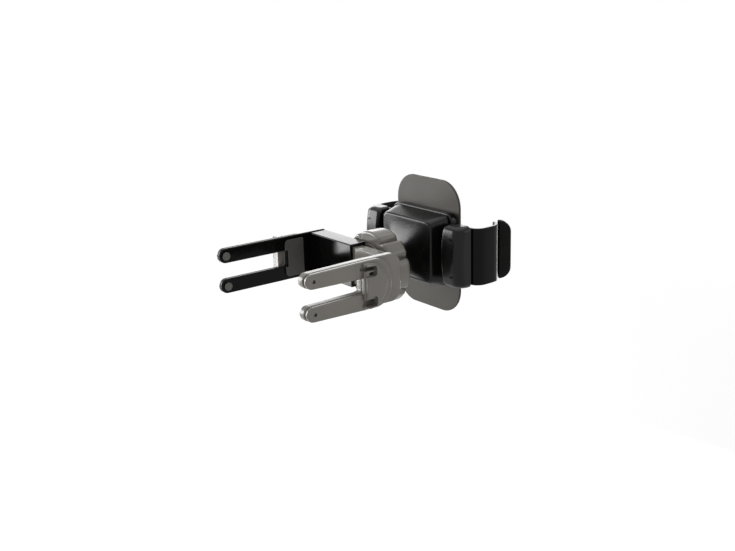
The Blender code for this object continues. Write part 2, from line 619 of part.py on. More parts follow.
def rear_housing():
    """Box that holds the rack and pinion, flared like a trumpet into the neck, with the spindle."""
    wide, tall = HOUSING_WIDTH / 2, HOUSING_HEIGHT / 2
    rim_x, rim_z = wide - HOUSING_DRAFT, tall - HOUSING_RISE
    loops = [section_loop(HOUSING_FRONT, wide, tall, CRADLE_Z, 0), section_loop(HOUSING_RIM, rim_x, rim_z, CRADLE_Z, 0)]
    for step in range(1, FLARE_STEPS + 1):
        angle = math.pi / 2 * step / FLARE_STEPS
        shrink = math.sin(angle)
        loops.append(section_loop(HOUSING_RIM - FLARE_DEPTH * (1 - math.cos(angle)),
                                  rim_x + (NECK_RADIUS - rim_x) * shrink, rim_z + (NECK_RADIUS - rim_z) * shrink,
                                  CRADLE_Z * (1 - shrink), shrink))
    loops.append(section_loop(SHOULDER, NECK_RADIUS, NECK_RADIUS, 0, 1))
    housing = loft("rear_housing", loops)
    seat = cylinder("spindle_seat", SPINDLE_RADIUS + FIT, SHOULDER - MM, SHOULDER + SPINDLE_SEAT + FIT, segments=24)
    cut(housing, seat, JOINT)
    w, h, bx, bz = CAVITY_HALF_WIDTH, CAVITY_HALF_HEIGHT, BOSS_X, BOSS_Z
    outline = fillet([(-w, -bz, MM), (-bx, -bz, 0), (-bx, -h, MM), (bx, -h, MM), (bx, -bz, 0), (w, -bz, MM),
                      (w, bz, MM), (bx, bz, 0), (bx, h, MM), (-bx, h, MM), (-bx, bz, 0), (-w, bz, MM)], 2)
    cut(housing, plate("cavity", outline, FLOOR, HOUSING_FRONT + MM, TO_XZ), CRADLE)
    for number, side in enumerate((1, -1)):
        low, high = sorted((side * (RAIL_STEP - FIT), side * (RAIL_TOP + FIT)))
        near, far = sorted((side * (CAVITY_HALF_WIDTH - MM), side * (wide + MM)))
        cut(housing, box(f"rail_window{number}", (near, FLOOR, low), (far, HOUSING_FRONT + MM, high)), CRADLE)
    join(housing, cylinder("pinion_post", POST_RADIUS, FLOOR - MM, HOUSING_FRONT - FIT, segments=16), CRADLE)
    for number, frame in enumerate((RIGHT, LEFT)):
        pin = cylinder(f"spring_pin{number}", SPRING_PIN, FLOOR - MM, HOUSING_FRONT - FIT,
                       at=(SPRING_FIXED_X, SPRING_Z), segments=12)
        join(housing, pin, frame)
    for number, spot in enumerate(screw_spots()):
        cut(housing, cylinder(f"screw_hole{number}", SCREW_RADIUS + FIT, FLOOR - 1.2 * MM, HOUSING_FRONT + MM,
                              at=spot, segments=14), CRADLE)
    return smooth(place(housing, JOINT, "satin_black"))


def neck_spindle():
    """Pin pressed into the neck, on which the ball turns; the spindle screw closes its free end."""
    spindle = bevel(cylinder("neck_spindle", SPINDLE_RADIUS, -BALL_HALF_LENGTH + FIT, SHOULDER + SPINDLE_SEAT,
                             segments=24), 0.2 * MM, 1, 50)
    cut(spindle, cylinder("spindle_bore", MM + FIT, -BALL_HALF_LENGTH - MM, 1.5 * MM, segments=14), JOINT)
    return smooth(place(spindle, JOINT, "steel"))


def screw_spots():
    return [(sx * SCREW_X, sz * SCREW_Z) for sx, sz in ((-1, -1), (1, -1), (1, 1), (-1, 1))]


def slotted_screw(name, head_radius, shaft_radius, head_start, head_end, shaft_end, frame):
    """A screw along Y, its head towards head_end and a slot across it."""
    low, high = sorted((head_start, head_end))
    screw = bevel(cylinder(name, head_radius, low, high, segments=20), 0.15 * MM, 1, 50)
    low, high = sorted(((low + high) / 2, shaft_end))
    join(screw, cylinder(f"{name}_shaft", shaft_radius, low, high, segments=12), frame)
    outward = math.copysign(1.0, head_end - head_start)
    low, high = sorted((head_end - outward * 0.2 * MM, head_end + outward * MM))
    cut(screw, box(f"{name}_slot", (-head_radius - MM, low, -0.25 * MM), (head_radius + MM, high, 0.25 * MM)), frame)
    return smooth(place(screw, frame, "steel"))


def front_shell():
    """Cover of the housing that carries the back plate."""
    outline = rounded_rectangle(SHELL_WIDTH, SHELL_HEIGHT, 4 * MM)
    shell = bevel(plate("front_shell", outline, SHELL_BACK, SHELL_FRONT, TO_XZ), 0.5 * MM)
    pocket = rounded_rectangle(2 * BOSS_X, 2 * CAVITY_HALF_HEIGHT - 4 * MM, 2 * MM, 3)
    cut(shell, plate("shell_pocket", pocket, SHELL_BACK - MM, SHELL_FRONT - SHELL_WALL, TO_XZ), CRADLE)
    for number, spot in enumerate(screw_spots()):
        cut(shell, cylinder(f"shell_hole{number}", SCREW_RADIUS + FIT, SHELL_BACK - MM, SHELL_FRONT + MM,
                            at=spot, segments=14), CRADLE)
        cut(shell, cylinder(f"shell_sink{number}", SCREW_HEAD_RADIUS + FIT, SHELL_FRONT - 1.6 * MM, SHELL_FRONT + MM,
                            at=spot, segments=20), CRADLE)
    return smooth(place(shell, CRADLE, "satin_black"))


def back_plate():
    """Thin plate behind the phone, with a recess for its rubber pad."""
    outline = rounded_rectangle(PLATE_WIDTH, PLATE_HEIGHT, PLATE_CORNER, 8)
    back = bevel(plate("back_plate", outline, PLATE_BACK, PLATE_FRONT, TO_XZ), 0.3 * MM)
    width, height = PLATE_WIDTH - 2 * PAD_MARGIN, PLATE_HEIGHT - 2 * PAD_MARGIN
    corner = PLATE_CORNER - PAD_MARGIN
    recess = rounded_rectangle(width + 2 * FIT, height + 2 * FIT, corner + FIT, 8)
    floor = PHONE_FACE - PHONE_PAD - FIT
    cut(back, plate("pad_recess", recess, floor, PLATE_FRONT + MM, TO_XZ), CRADLE)
    pad = plate("phone_pad", rounded_rectangle(width, height, corner, 8), floor + FIT, PHONE_FACE, TO_XZ)
    place(pad, CRADLE, "matte_rubber")
    return smooth(place(back, CRADLE, "dark_plate"))


def tooth_half_angle(radius):
    """Half the angle that a pinion tooth fills at a radius: an involute of the pressure angle."""
    at = math.acos(min(1.0, PITCH_RADIUS * math.cos(PRESSURE_ANGLE) / radius))
    thickness = math.pi * RACK_MODULE / 2 - BACKLASH
    return thickness / (2 * PITCH_RADIUS) + math.tan(PRESSURE_ANGLE) - PRESSURE_ANGLE - (math.tan(at) - at)


def sync_pinion():
    """Pinion on the housing's post, meshing with both racks."""
    base = PITCH_RADIUS * math.cos(PRESSURE_ANGLE)
    flank = [(PITCH_RADIUS - DEDENDUM, tooth_half_angle(base))]
    flank += [(r, tooth_half_angle(r)) for r in (base, base + 0.35 * MM, base + 0.8 * MM, PITCH_RADIUS + ADDENDUM)]
    outline = []
    for tooth in range(PINION_TEETH):
        middle = 2 * math.pi * (tooth + 0.5) / PINION_TEETH + math.pi / 2
        for side, points in ((-1, flank), (1, list(reversed(flank)))):
            outline += [Vector((r * math.cos(middle + side * half), r * math.sin(middle + side * half)))
                        for r, half in points]
    pinion = plate("sync_pinion", outline, FLOOR + FIT, FLOOR + FIT + PINION_THICKNESS, TO_XZ)
    cut(pinion, cylinder("pinion_bore", POST_RADIUS + FIT, FLOOR - MM, HOUSING_FRONT + MM, segments=16), CRADLE)
    return place(pinion, CRADLE, "white_nylon")


def rail_outline():
    """A rail in (X, Z) with its rack along the lower edge."""
    pitch = math.pi * RACK_MODULE
    half = (pitch / 2 - BACKLASH) / 2
    slope = math.tan(PRESSURE_ANGLE)
    tip, root = PITCH_RADIUS - ADDENDUM, PITCH_RADIUS + DEDENDUM
    outline = [Vector((-RAIL_REACH, RAIL_TOP)), Vector((-RAIL_REACH, root))]
    for tooth in RACK_TEETH:
        x = tooth * pitch
        outline += [Vector((x - half - DEDENDUM * slope, root)), Vector((x - half + ADDENDUM * slope, tip)),
                    Vector((x + half - ADDENDUM * slope, tip)), Vector((x + half + DEDENDUM * slope, root))]
    return outline + [Vector((10 * MM, root)), Vector((11 * MM, RAIL_STEP)), Vector((27 * MM, RAIL_STEP)),
                      Vector((27 * MM, RAIL_TOP))]


def ribbon(path, width, shift=0.0):
    """Closed outline of a band along a smooth path, moved sideways by shift."""
    spots = [Vector(point) * MM for point in path]
    fine = []
    for index in range(len(spots) - 1):
        before, a, b = spots[max(index - 1, 0)], spots[index], spots[index + 1]
        after = spots[min(index + 2, len(spots) - 1)]
        for t in (0.0, 0.5):
            fine.append(0.5 * (2 * a + (b - before) * t + (2 * before - 5 * a + 4 * b - after) * t * t
                               + (3 * a - before - 3 * b + after) * t ** 3))
    fine.append(spots[-1])
    left, right = [], []
    for index, point in enumerate(fine):
        along = (fine[min(index + 1, len(fine) - 1)] - fine[max(index - 1, 0)]).normalized()
        normal = Vector((-along.y, along.x))
        left.append(point + normal * (shift + width / 2))
        right.append(point + normal * (shift - width / 2))
    return right + list(reversed(left))


def lip_frame(frame):
    """Frame of an arm's lip: X runs along the lip, Y across its thickness."""
    along = LIP_END - LIP_START
    return (frame @ Matrix.Translation((LIP_START.x * MM, LIP_START.y * MM, 0))
            @ Matrix.Rotation(math.atan2(along.y, along.x), 4, "Z"))


def lip_plate(name, start, end, half_height, corner, half_wall):
    outline = fillet([(start, -half_height, 0), (end, -half_height, corner), (end, half_height, corner),
                      (start, half_height, 0)], 5)
    return plate(name, outline, -half_wall, half_wall, TO_XZ)


def arm(side, frame):
    """One cradle arm: rail with its rack, root, curved strip and lip, with cover, grip pad, boot and spring."""
    half = ARM_HEIGHT / 2
    piece = bevel(plate(f"{side}_arm", ribbon(ARM_PATH, ARM_WALL), -half, half, TO_XY), 0.3 * MM, 1, 60)
    (x0, x1), (y0, y1) = ARM_FLANGE
    flange = box(f"{side}_flange", (x0 * MM, y0 * MM, -half + 0.2 * MM), (x1 * MM, y1 * MM, half - 0.2 * MM))
    join(piece, bevel(flange, 0.3 * MM, 1), frame)
    (x0, x1), (y0, y1) = ARM_ROOT
    root = box(f"{side}_root", (x0 * MM, y0 * MM, -half + 0.7 * MM), (x1 * MM, y1 * MM, half - 0.7 * MM))
    join(piece, root, frame)
    join(piece, plate(f"{side}_rail", rail_outline(), RAIL_BACK, RAIL_FRONT, TO_XZ), frame)
    tab = box(f"{side}_tab", (SPRING_MOVING_X - 0.8 * MM, RAIL_BACK + 0.1 * MM, RAIL_TOP - 0.5 * MM),
              (SPRING_MOVING_X + 0.8 * MM, RAIL_BACK + 0.6 * MM, SPRING_Z + 0.8 * MM))
    join(piece, tab, frame)
    pin = cylinder(f"{side}_tab_pin", SPRING_PIN, RAIL_BACK + 0.3 * MM, RAIL_FRONT,
                   at=(SPRING_MOVING_X, SPRING_Z), segments=12)
    join(piece, pin, frame)
    length = (LIP_END - LIP_START).length * MM
    lip_half = half - LIP_INSET
    join(piece, lip_plate(f"{side}_lip", -0.2 * MM, length, lip_half, LIP_CORNER, LIP_WALL / 2), lip_frame(frame))
    for number, sign in enumerate((1, -1)):
        hole = cylinder(f"{side}_peg_hole{number}", COVER_PEG + FIT, ARM_ROOT[1][0] * MM - MM, 23.0 * MM,
                        at=(COVER_PEG_AT[0], sign * COVER_PEG_AT[1]), segments=14)
        cut(piece, hole, frame)
    smooth(place(piece, frame, "gloss_black"))

    boot = lip_plate(f"{side}_lip_boot", BOOT_START, length + FIT + BOOT_WALL, lip_half + FIT + BOOT_WALL,
                     LIP_CORNER + BOOT_WALL, LIP_WALL / 2 + FIT + BOOT_WALL)
    bevel(boot, 0.5 * MM)
    pocket = lip_plate(f"{side}_boot_pocket", BOOT_START - MM, length + FIT, lip_half + FIT, LIP_CORNER,
                       LIP_WALL / 2 + FIT)
    cut(boot, pocket, lip_frame(frame))
    smooth(place(boot, lip_frame(frame), "matte_rubber"))

    shift = ARM_WALL / 2 + FIT + GRIP_PAD / 2
    pad = plate(f"{side}_grip_pad", ribbon(ARM_PATH[4:7], GRIP_PAD, shift), -GRIP_PAD_HEIGHT / 2,
                GRIP_PAD_HEIGHT / 2, TO_XY)
    smooth(place(pad, frame, "matte_rubber"))
    arm_cover(side, frame)
    return_spring(side, frame)


def crown(item, start, width, segments=3):
    """Round the rim of the face that lies at the start of a piece's thickness."""
    bm = bmesh.new()
    bm.from_mesh(item.data)
    rim = [edge for edge in bm.edges if all(abs(vert.co.y - start) < 0.01 * MM for vert in edge.verts)]
    bmesh.ops.bevel(bm, geom=rim, offset=width, segments=segments, profile=0.5, affect="EDGES",
                    clamp_overlap=True, material=-1)
    bm.to_mesh(item.data)
    bm.free()
    return item


def arm_cover(side, frame):
    """Rounded cap over an arm's root, pinned to it by two pegs."""
    h, wall = COVER_HALF_HEIGHT, COVER_WALL
    shape = fillet([(COVER_X[0], -h, COVER_CORNER), (COVER_X[1], -h, COVER_CORNER), (COVER_X[1], h, COVER_CORNER),
                    (COVER_X[0], h, COVER_CORNER)], 3)
    cover = crown(plate(f"{side}_arm_cover", shape, COVER_Y[0], COVER_Y[1], TO_XZ), COVER_Y[0], COVER_CROWN)
    inside = box(f"{side}_cover_inside", (COVER_X[0] + wall, COVER_Y[0] + wall, -h + wall),
                 (COVER_X[1] - wall, COVER_Y[1] + 3 * MM, h - wall))
    cut(cover, bevel(inside, MM, 2), frame)
    window = box(f"{side}_cover_window", (COVER_X[0] - MM, FLOOR - 0.2 * MM, RAIL_STEP - FIT),
                 (COVER_X[0] + 2 * wall, COVER_Y[1] + MM, RAIL_TOP + FIT))
    cut(cover, window, frame)
    for number, sign in enumerate((1, -1)):
        peg = cylinder(f"{side}_cover_peg{number}", COVER_PEG, COVER_Y[0] + wall / 2, 22.5 * MM,
                       at=(COVER_PEG_AT[0], sign * COVER_PEG_AT[1]), segments=14)
        join(cover, peg, frame)
    return smooth(place(cover, frame, "satin_black"), 40)


def return_spring(side, frame):
    """Extension spring from the housing's pin to the arm's pin, with a hook at each end."""
    middle_y = (FLOOR + HOUSING_FRONT) / 2
    hook = SPRING_PIN + SPRING_WIRE + 0.12 * MM
    start, end = SPRING_FIXED_X + hook + 0.5 * MM, SPRING_MOVING_X - hook - 0.5 * MM
    points = [(p.x, middle_y, p.y) for p in arc((SPRING_FIXED_X, SPRING_Z), hook, 300, 60, 8)]
    steps = 10
    for index in range(SPRING_TURNS * steps + 1):
        angle = 2 * math.pi * index / steps
        x = start + (end - start) * index / (SPRING_TURNS * steps)
        points.append((x, middle_y + SPRING_RADIUS * math.sin(angle), SPRING_Z + SPRING_RADIUS * math.cos(angle)))
    points += [(p.x, middle_y, p.y) for p in arc((SPRING_MOVING_X, SPRING_Z), hook, 120, -120, 8)]
    return smooth(place(wire(f"{side}_return_spring", points, SPRING_WIRE), frame, "steel"), 60)


def build():
    clip_body()
    fixed_length = FIXED_PRONG - 0.3 * MM
    fixed_studs = stud_spots(FIXED_PRONG, STUD_INSET)
    jaw_studs = stud_spots(JAW_PRONG, JAW_STUD_INSET)
    fork_cover("fixed_fork_cover", -FIXED_INNER + FIT, 1, COVER_PLATE, CAP_STEPS, fixed_length, FIXED_PRONG_TIP,
               FIXED_PRONG_ROOT, fixed_studs)
    fork_pad("fixed_fork_pad", FIXED_INNER, 1, FIXED_PRONG_ROOT)
    sliding_jaw()
    fork_cover("sliding_fork_cover", JAW_INNER - JAW_PLATE - FIT, -1, JAW_COVER, JAW_CAP_STEPS, JAW_PRONG,
               JAW_PRONG_HEIGHT, JAW_PRONG_HEIGHT, jaw_studs)
    fork_pad("sliding_fork_pad", JAW_INNER, -1, JAW_PRONG_HEIGHT)
    for number, label in enumerate(("upper", "lower")):
        stud(f"fixed_stud_{label}", FIXED_INNER, 1, INNER_PLATE + FIT + COVER_PLATE, fixed_studs[number])
        stud(f"sliding_stud_{label}", JAW_INNER, -1, JAW_PLATE + FIT + JAW_COVER, jaw_studs[number])
    clamp_nut()
    friction_liner()
    ball()
    rear_housing()
    neck_spindle()
    slotted_screw("spindle_screw", SPINDLE_SCREW_HEAD, MM, -BALL_HALF_LENGTH - FIT,
                  -BALL_HALF_LENGTH - FIT - 0.5 * MM, MM, JOINT)
    front_shell()
    back_plate()
    head = SHELL_FRONT - 1.6 * MM + FIT
    for number, (x, z) in enumerate(screw_spots()):
        slotted_screw(f"housing_screw_{number + 1}", SCREW_HEAD_RADIUS, SCREW_RADIUS, head, SHELL_FRONT - FIT,
                      head - SCREW_LENGTH, CRADLE @ Matrix.Translation((x, 0, z)))
    sync_pinion()
    arm("right", RIGHT)
    arm("left", LEFT)


build()
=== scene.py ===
"""Looks of the air vent phone holder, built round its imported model.

Sizes are in millimetres until a piece is finished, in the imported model's own frame: the forks
point along -Y, the cradle is open to +Y and Z is up.
"""

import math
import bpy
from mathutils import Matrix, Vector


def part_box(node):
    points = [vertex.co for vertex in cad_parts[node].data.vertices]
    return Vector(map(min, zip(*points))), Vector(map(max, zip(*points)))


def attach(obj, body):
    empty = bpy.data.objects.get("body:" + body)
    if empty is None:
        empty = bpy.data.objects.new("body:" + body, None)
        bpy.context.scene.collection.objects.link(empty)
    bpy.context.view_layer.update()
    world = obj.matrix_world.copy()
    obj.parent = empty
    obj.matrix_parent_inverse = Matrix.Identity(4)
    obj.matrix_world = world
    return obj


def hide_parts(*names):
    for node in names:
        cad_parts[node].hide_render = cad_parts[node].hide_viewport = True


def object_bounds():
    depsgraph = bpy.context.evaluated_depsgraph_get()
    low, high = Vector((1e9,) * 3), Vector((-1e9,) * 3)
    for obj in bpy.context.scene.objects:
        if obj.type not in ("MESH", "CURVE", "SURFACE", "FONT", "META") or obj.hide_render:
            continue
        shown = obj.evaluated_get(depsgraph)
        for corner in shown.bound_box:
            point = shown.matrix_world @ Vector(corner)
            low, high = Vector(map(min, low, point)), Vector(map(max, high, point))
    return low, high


bl_info = {
    "name": "Air Vent Phone Holder",
    "version": (1, 0, 0),
    "blender": (4, 5, 0),
    "location": "View3D > Sidebar > Holder",
    "description": "Detailed pieces, moulded finishes and studio for an air vent phone holder",
    "category": "Add Mesh",
}

from collections import namedtuple

import bmesh
import bpy
from bpy.props import FloatProperty, FloatVectorProperty, IntProperty, PointerProperty
from mathutils import Matrix, Vector

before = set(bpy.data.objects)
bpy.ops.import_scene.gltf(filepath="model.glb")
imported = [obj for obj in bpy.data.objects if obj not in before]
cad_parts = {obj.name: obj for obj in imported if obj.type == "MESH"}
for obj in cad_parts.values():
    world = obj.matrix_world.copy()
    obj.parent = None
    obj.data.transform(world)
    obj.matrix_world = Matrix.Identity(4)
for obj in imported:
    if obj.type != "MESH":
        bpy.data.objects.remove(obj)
PACKED_BOX = [list(corner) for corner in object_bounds()]

# A millimetre in metres, and the gap between seated pieces in millimetres
MM = 0.001
FIT = 0.3


def packed(node):
    """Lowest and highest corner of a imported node, in millimetres."""
    low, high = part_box(node)
    return low / MM, high / MM


def middle(node):
    """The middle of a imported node, in millimetres."""
    low, high = packed(node)
    return (low + high) / 2


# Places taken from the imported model, as a middle or as lowest and highest corners
BALL = middle("ball")
BALL_RADIUS = packed("ball")[1].x - BALL.x
BALL_HALF_LENGTH = packed("ball")[1].y - BALL.y
PLATE = packed("back_plate")
FIXED = packed("clip_body")
JAW = packed("sliding_jaw")
NUT = packed("clamp_nut")
HOUSING = packed("rear_housing")

# Frames that the clip, the parts round the ball, the cradle and each arm are drawn in
WORLD = Matrix.Identity(4)
JOINT = Matrix.Translation(BALL)
CRADLE = Matrix.Translation((BALL.x, BALL.y, middle("back_plate").z))
SIDES = (("right", CRADLE), ("left", CRADLE @ Matrix.Rotation(math.pi, 4, "Y")))


class ForkSizes(bpy.types.PropertyGroup):
    """Sizes of the two vent forks and their thumb caps, in millimetres."""

    pitch: FloatProperty(name="Prong Pitch", description="Between the middles of a fork's prongs",
                         default=13.9, min=8, max=30)
    edge: FloatProperty(name="Edge Rounding", description="Rounding along the prongs' edges",
                        default=0.55, min=0.1, max=1.2)
    cap_radius: FloatProperty(name="Cap Radius", description="Half height of the thumb cap", default=9.9,
                              min=5, max=14)
    cap_rounding: FloatProperty(name="Cap Rounding", description="Rounding of the cap's steps",
                                default=0.45, min=0.1, max=1.2)


class JointSizes(bpy.types.PropertyGroup):
    """Sizes of the clamp nut and the trumpet-shaped housing, in millimetres."""

    groove_width: FloatProperty(name="Groove Width", description="Width of a grip groove between its lips",
                                default=5.0, min=1, max=7)
    groove_depth: FloatProperty(name="Groove Depth", description="Depth of the nut's grip grooves", default=2.4,
                                min=0.4, max=3)
    groove_first: FloatProperty(name="First Groove", description="Degrees from the top to the first groove",
                                default=32, min=0, max=45)
    groove_second: FloatProperty(name="Second Groove", description="Degrees from the top to the second groove",
                                 default=66, min=45, max=90)
    neck_radius: FloatProperty(name="Neck Radius", description="Radius of the neck behind the ball",
                               default=5.2, min=3, max=8)
    flare_depth: FloatProperty(name="Flare Depth", description="How far the housing flares out behind the neck",
                               default=6.8, min=4, max=12)
    box_depth: FloatProperty(name="Box Depth", description="From the housing's front to its flare", default=9.2,
                             min=7, max=10)
    loop_points: IntProperty(name="Loop Points", description="Points round each loop of the housing",
                             default=120, min=40, max=240)


class CradleSizes(bpy.types.PropertyGroup):
    """Sizes of the back plate, arms and covers, in millimetres."""

    plate_corner: FloatProperty(name="Plate Corner", description="Corner radius of the back plate",
                                default=12, min=2, max=20)
    arm_height: FloatProperty(name="Arm Height", description="Height of an arm's strip", default=26, min=10, max=40)
    arm_wall: FloatProperty(name="Arm Wall", description="Thickness of an arm's strip", default=1.6, min=0.8, max=3)
    cover_rounding: FloatProperty(name="Cover Rounding", description="Radius of the arm covers' outer edge",
                                  default=4.5, min=2, max=5)
    cover_dome: FloatProperty(name="Cover Dome", description="How far the covers' ends lie forward of their middle",
                              default=1.8, min=0, max=2.4)
    lip_corner: FloatProperty(name="Lip Corner", description="Corner radius of an arm's lip",
                              default=4.5, min=1, max=8)


class HolderColours(bpy.types.PropertyGroup):
    """Colours of the holder's plastics and rubbers."""

    smoke: FloatVectorProperty(name="Smoke Grey", description="Clip body, fork covers and clamp nut",
                               subtype="COLOR", size=3, min=0, max=1, default=(0.132, 0.122, 0.108))
    gloss: FloatVectorProperty(name="Gloss Black", description="Sliding jaw and arms", subtype="COLOR", size=3,
                               min=0, max=1, default=(0.0016, 0.0016, 0.0016))
    satin: FloatVectorProperty(name="Satin Black", description="Housing and arm covers", subtype="COLOR", size=3,
                               min=0, max=1, default=(0.0028, 0.0028, 0.0028))
    plate: FloatVectorProperty(name="Back Plate", description="Thin plate in the cradle", subtype="COLOR",
                               size=3, min=0, max=1, default=(0.046, 0.041, 0.034))
    rubber: FloatVectorProperty(name="Rubber", description="Lip boots and pads", subtype="COLOR", size=3,
                                min=0, max=1, default=(0.0050, 0.0050, 0.0046))
    grip: FloatVectorProperty(name="Grip Grey", description="Fork pads and studs", subtype="COLOR", size=3,
                              min=0, max=1, default=(0.088, 0.085, 0.077))


class StudioSettings(bpy.types.PropertyGroup):
    """Light and camera."""

    top_light: FloatProperty(name="Top Light", description="Radiance of the large light above", default=0.9, min=0)
    back_light: FloatProperty(name="Back Light", description="Radiance of the low light behind", default=3.0, min=0)
    side_light: FloatProperty(name="Side Light", description="Radiance of the light at the side", default=1.0, min=0)
    key_light: FloatProperty(name="Key Light", description="Radiance of the light in front of the forks",
                             default=10.0, min=0)
    low_light: FloatProperty(name="Low Light", description="Radiance of the small light below the forks",
                             default=15.0, min=0)
    rim_light: FloatProperty(name="Rim Light", description="Radiance of the small light in front of the cradle",
                             default=8.0, min=0)
    world_light: FloatProperty(name="World Light", description="Strength of the even light all round",
                               default=0.55, min=0)
    azimuth: FloatProperty(name="Azimuth", description="Camera's direction round the holder, in degrees",
                           default=53.385)
    elevation: FloatProperty(name="Elevation", description="Camera's height over the horizon, in degrees",
                             default=16.35)
    roll: FloatProperty(name="Roll", description="Camera's turn about its view, in degrees", default=-1.814)
    distance: FloatProperty(name="Distance", description="Camera to target", default=0.5156, unit="LENGTH")
    lens: FloatProperty(name="Lens", description="Focal length in millimetres", default=48.93, min=10)
    target: FloatVectorProperty(name="Target", description="Point at the middle of the picture", size=3,
                                subtype="TRANSLATION", default=(-0.07328, 0.059, -0.02388))


# ---------------------------------------------------------------- finishes

def add_node(tree, kind, spot, inputs=(), **settings):
    """A shader node with its settings and the values of its inputs."""
    made = tree.nodes.new(kind)
    made.location = spot
    for key, value in settings.items():
        setattr(made, key, value)
    for key, value in dict(inputs).items():
        made.inputs[key].default_value = value
    return made


# Sockets of a Mix node that mixes colours: both inputs and its output
MIX_A, MIX_B, MIX_RESULT = 6, 7, 2


def moulded(name, colour, roughness, specular, second=None, spread=0.05, peel=(420, 0.05), grain=(2600, 0.04),
            metallic=0.0, sheen=0.0):
    """A moulded finish: faint mottling, uneven gloss, a slow orange peel and a fine grain.

    Second is the mottling's other colour. Peel and grain each hold a scale and a strength.
    """
    found = bpy.data.materials.get(name)
    if found:
        return found
    made = bpy.data.materials.new(name)
    made.use_nodes = True
    tree = made.node_tree
    link = tree.links.new
    shader = tree.nodes["Principled BSDF"]
    for socket, value in (("Specular IOR Level", specular), ("Metallic", metallic), ("Sheen Weight", sheen)):
        shader.inputs[socket].default_value = value
    where = add_node(tree, "ShaderNodeTexCoord", (-1300, 0))

    def noise(row, inputs):
        cloud = add_node(tree, "ShaderNodeTexNoise", (-1000, row), inputs)
        link(where.outputs["Object"], cloud.inputs["Vector"])
        return cloud.outputs["Fac"]

    def stretched(value, spot, low=0.0, high=1.0):
        wider = add_node(tree, "ShaderNodeMapRange", spot,
                         {"From Min": 0.3, "From Max": 0.7, "To Min": low, "To Max": high})
        link(value, wider.inputs["Value"])
        return wider.outputs["Result"]

    mottling = stretched(noise(300, {"Scale": 45.0, "Detail": 3.0}), (-800, 300))
    tint = add_node(tree, "ShaderNodeMix", (-550, 300), data_type="RGBA")
    second = second or [min(1.0, c * 1.18 + 0.001) for c in colour]
    tint.inputs[MIX_A].default_value = (*colour, 1.0)
    tint.inputs[MIX_B].default_value = (*second, 1.0)
    link(mottling, tint.inputs["Factor"])
    link(tint.outputs[MIX_RESULT], shader.inputs["Base Color"])
    gloss = stretched(noise(0, {"Scale": 120.0, "Detail": 4.0, "Roughness": 0.6}), (-550, 0),
                      roughness - spread / 2, roughness + spread)
    link(gloss, shader.inputs["Roughness"])
    waves = noise(-300, {"Scale": peel[0], "Detail": 1.0})
    slow = add_node(tree, "ShaderNodeBump", (-550, -300), {"Strength": peel[1], "Distance": 0.0003})
    link(waves, slow.inputs["Height"])
    grains = noise(-550, {"Scale": grain[0], "Detail": 2.0})
    fine = add_node(tree, "ShaderNodeBump", (-300, -300), {"Strength": grain[1], "Distance": 0.0001})
    link(grains, fine.inputs["Height"])
    link(slow.outputs["Normal"], fine.inputs["Normal"])
    link(fine.outputs["Normal"], shader.inputs["Normal"])
    return made


def finish(name):
    """The holder's finishes by name, in the colours of the panel."""
    colours = bpy.context.scene.holder_colours
    # Colour, roughness and specular level, then what differs from a plain moulding
    recipes = {
        "smoke_plastic": (colours.smoke, 0.20, 0.5, {"peel": (380, 0.08)}),
        "gloss_black_plastic": (colours.gloss, 0.13, 0.10,
                                {"spread": 0.04, "peel": (320, 0.06), "grain": (2600, 0.01)}),
        "satin_black_plastic": (colours.satin, 0.23, 0.22, {"peel": (450, 0.05), "grain": (3200, 0.10)}),
        "plate_plastic": (colours.plate, 0.38, 0.2, {"peel": (260, 0.05), "grain": (2600, 0.02)}),
        "black_rubber": (colours.rubber, 0.72, 0.10,
                         {"spread": 0.10, "peel": (900, 0.12), "grain": (3800, 0.45), "sheen": 0.01}),
        "grip_rubber": (colours.grip, 0.58, 0.3, {"spread": 0.08, "peel": (900, 0.12), "grain": (3600, 0.35)}),
        "pad_rubber": ([c * 0.5 for c in colours.grip], 0.50, 0.3,
                       {"spread": 0.10, "peel": (500, 0.10), "grain": (3400, 0.25)}),
        "nylon": ((0.66, 0.64, 0.58), 0.42, 0.5, {"second": (0.72, 0.70, 0.64)}),
        "zinc_steel": ((0.52, 0.52, 0.53), 0.28, 0.5,
                       {"second": (0.60, 0.60, 0.60), "spread": 0.12, "peel": (1500, 0.08), "metallic": 1.0}),
    }
    colour, roughness, specular, rest = recipes[name]
    return moulded(name, colour, roughness, specular, **rest)


# ---------------------------------------------------------------- outlines

def fillet(corners, steps):
    """Round a closed outline: corners are (x, y, radius)."""
    points = []
    count = len(corners)
    for index, (x, y, radius) in enumerate(corners):
        here = Vector((x, y))
        if radius <= 0:
            points.append(here)
            continue
        before = (Vector(corners[index - 1][:2]) - here).normalized()
        after = (Vector(corners[(index + 1) % count][:2]) - here).normalized()
        half = before.angle(after) / 2
        centre = here + (before + after).normalized() * (radius / math.sin(half))
        start = here + before * (radius / math.tan(half)) - centre
        end = here + after * (radius / math.tan(half)) - centre
        sweep = math.atan2(start.x * end.y - start.y * end.x, start.dot(end))
        points += [centre + Matrix.Rotation(sweep * step / steps, 2) @ start for step in range(steps + 1)]
    return points


def arc(centre, radius, start, end, steps):
    """Points on an arc, angles in degrees."""
    angles = [math.radians(start + (end - start) * step / steps) for step in range(steps + 1)]
    return [Vector((centre[0] + radius * math.cos(a), centre[1] + radius * math.sin(a))) for a in angles]


def on_circle(radius, angles):
    """Points at angles in radians on a circle round the origin."""
    return [(radius * math.cos(a), radius * math.sin(a)) for a in angles]


def rounded_rectangle(width, height, corner, steps, at=(0.0, 0.0)):
    """A rectangle round a spot, with round corners."""
    return fillet([(at[0] + sx * width / 2, at[1] + sy * height / 2, corner)
                   for sx, sy in ((-1, -1), (1, -1), (1, 1), (-1, 1))], steps)


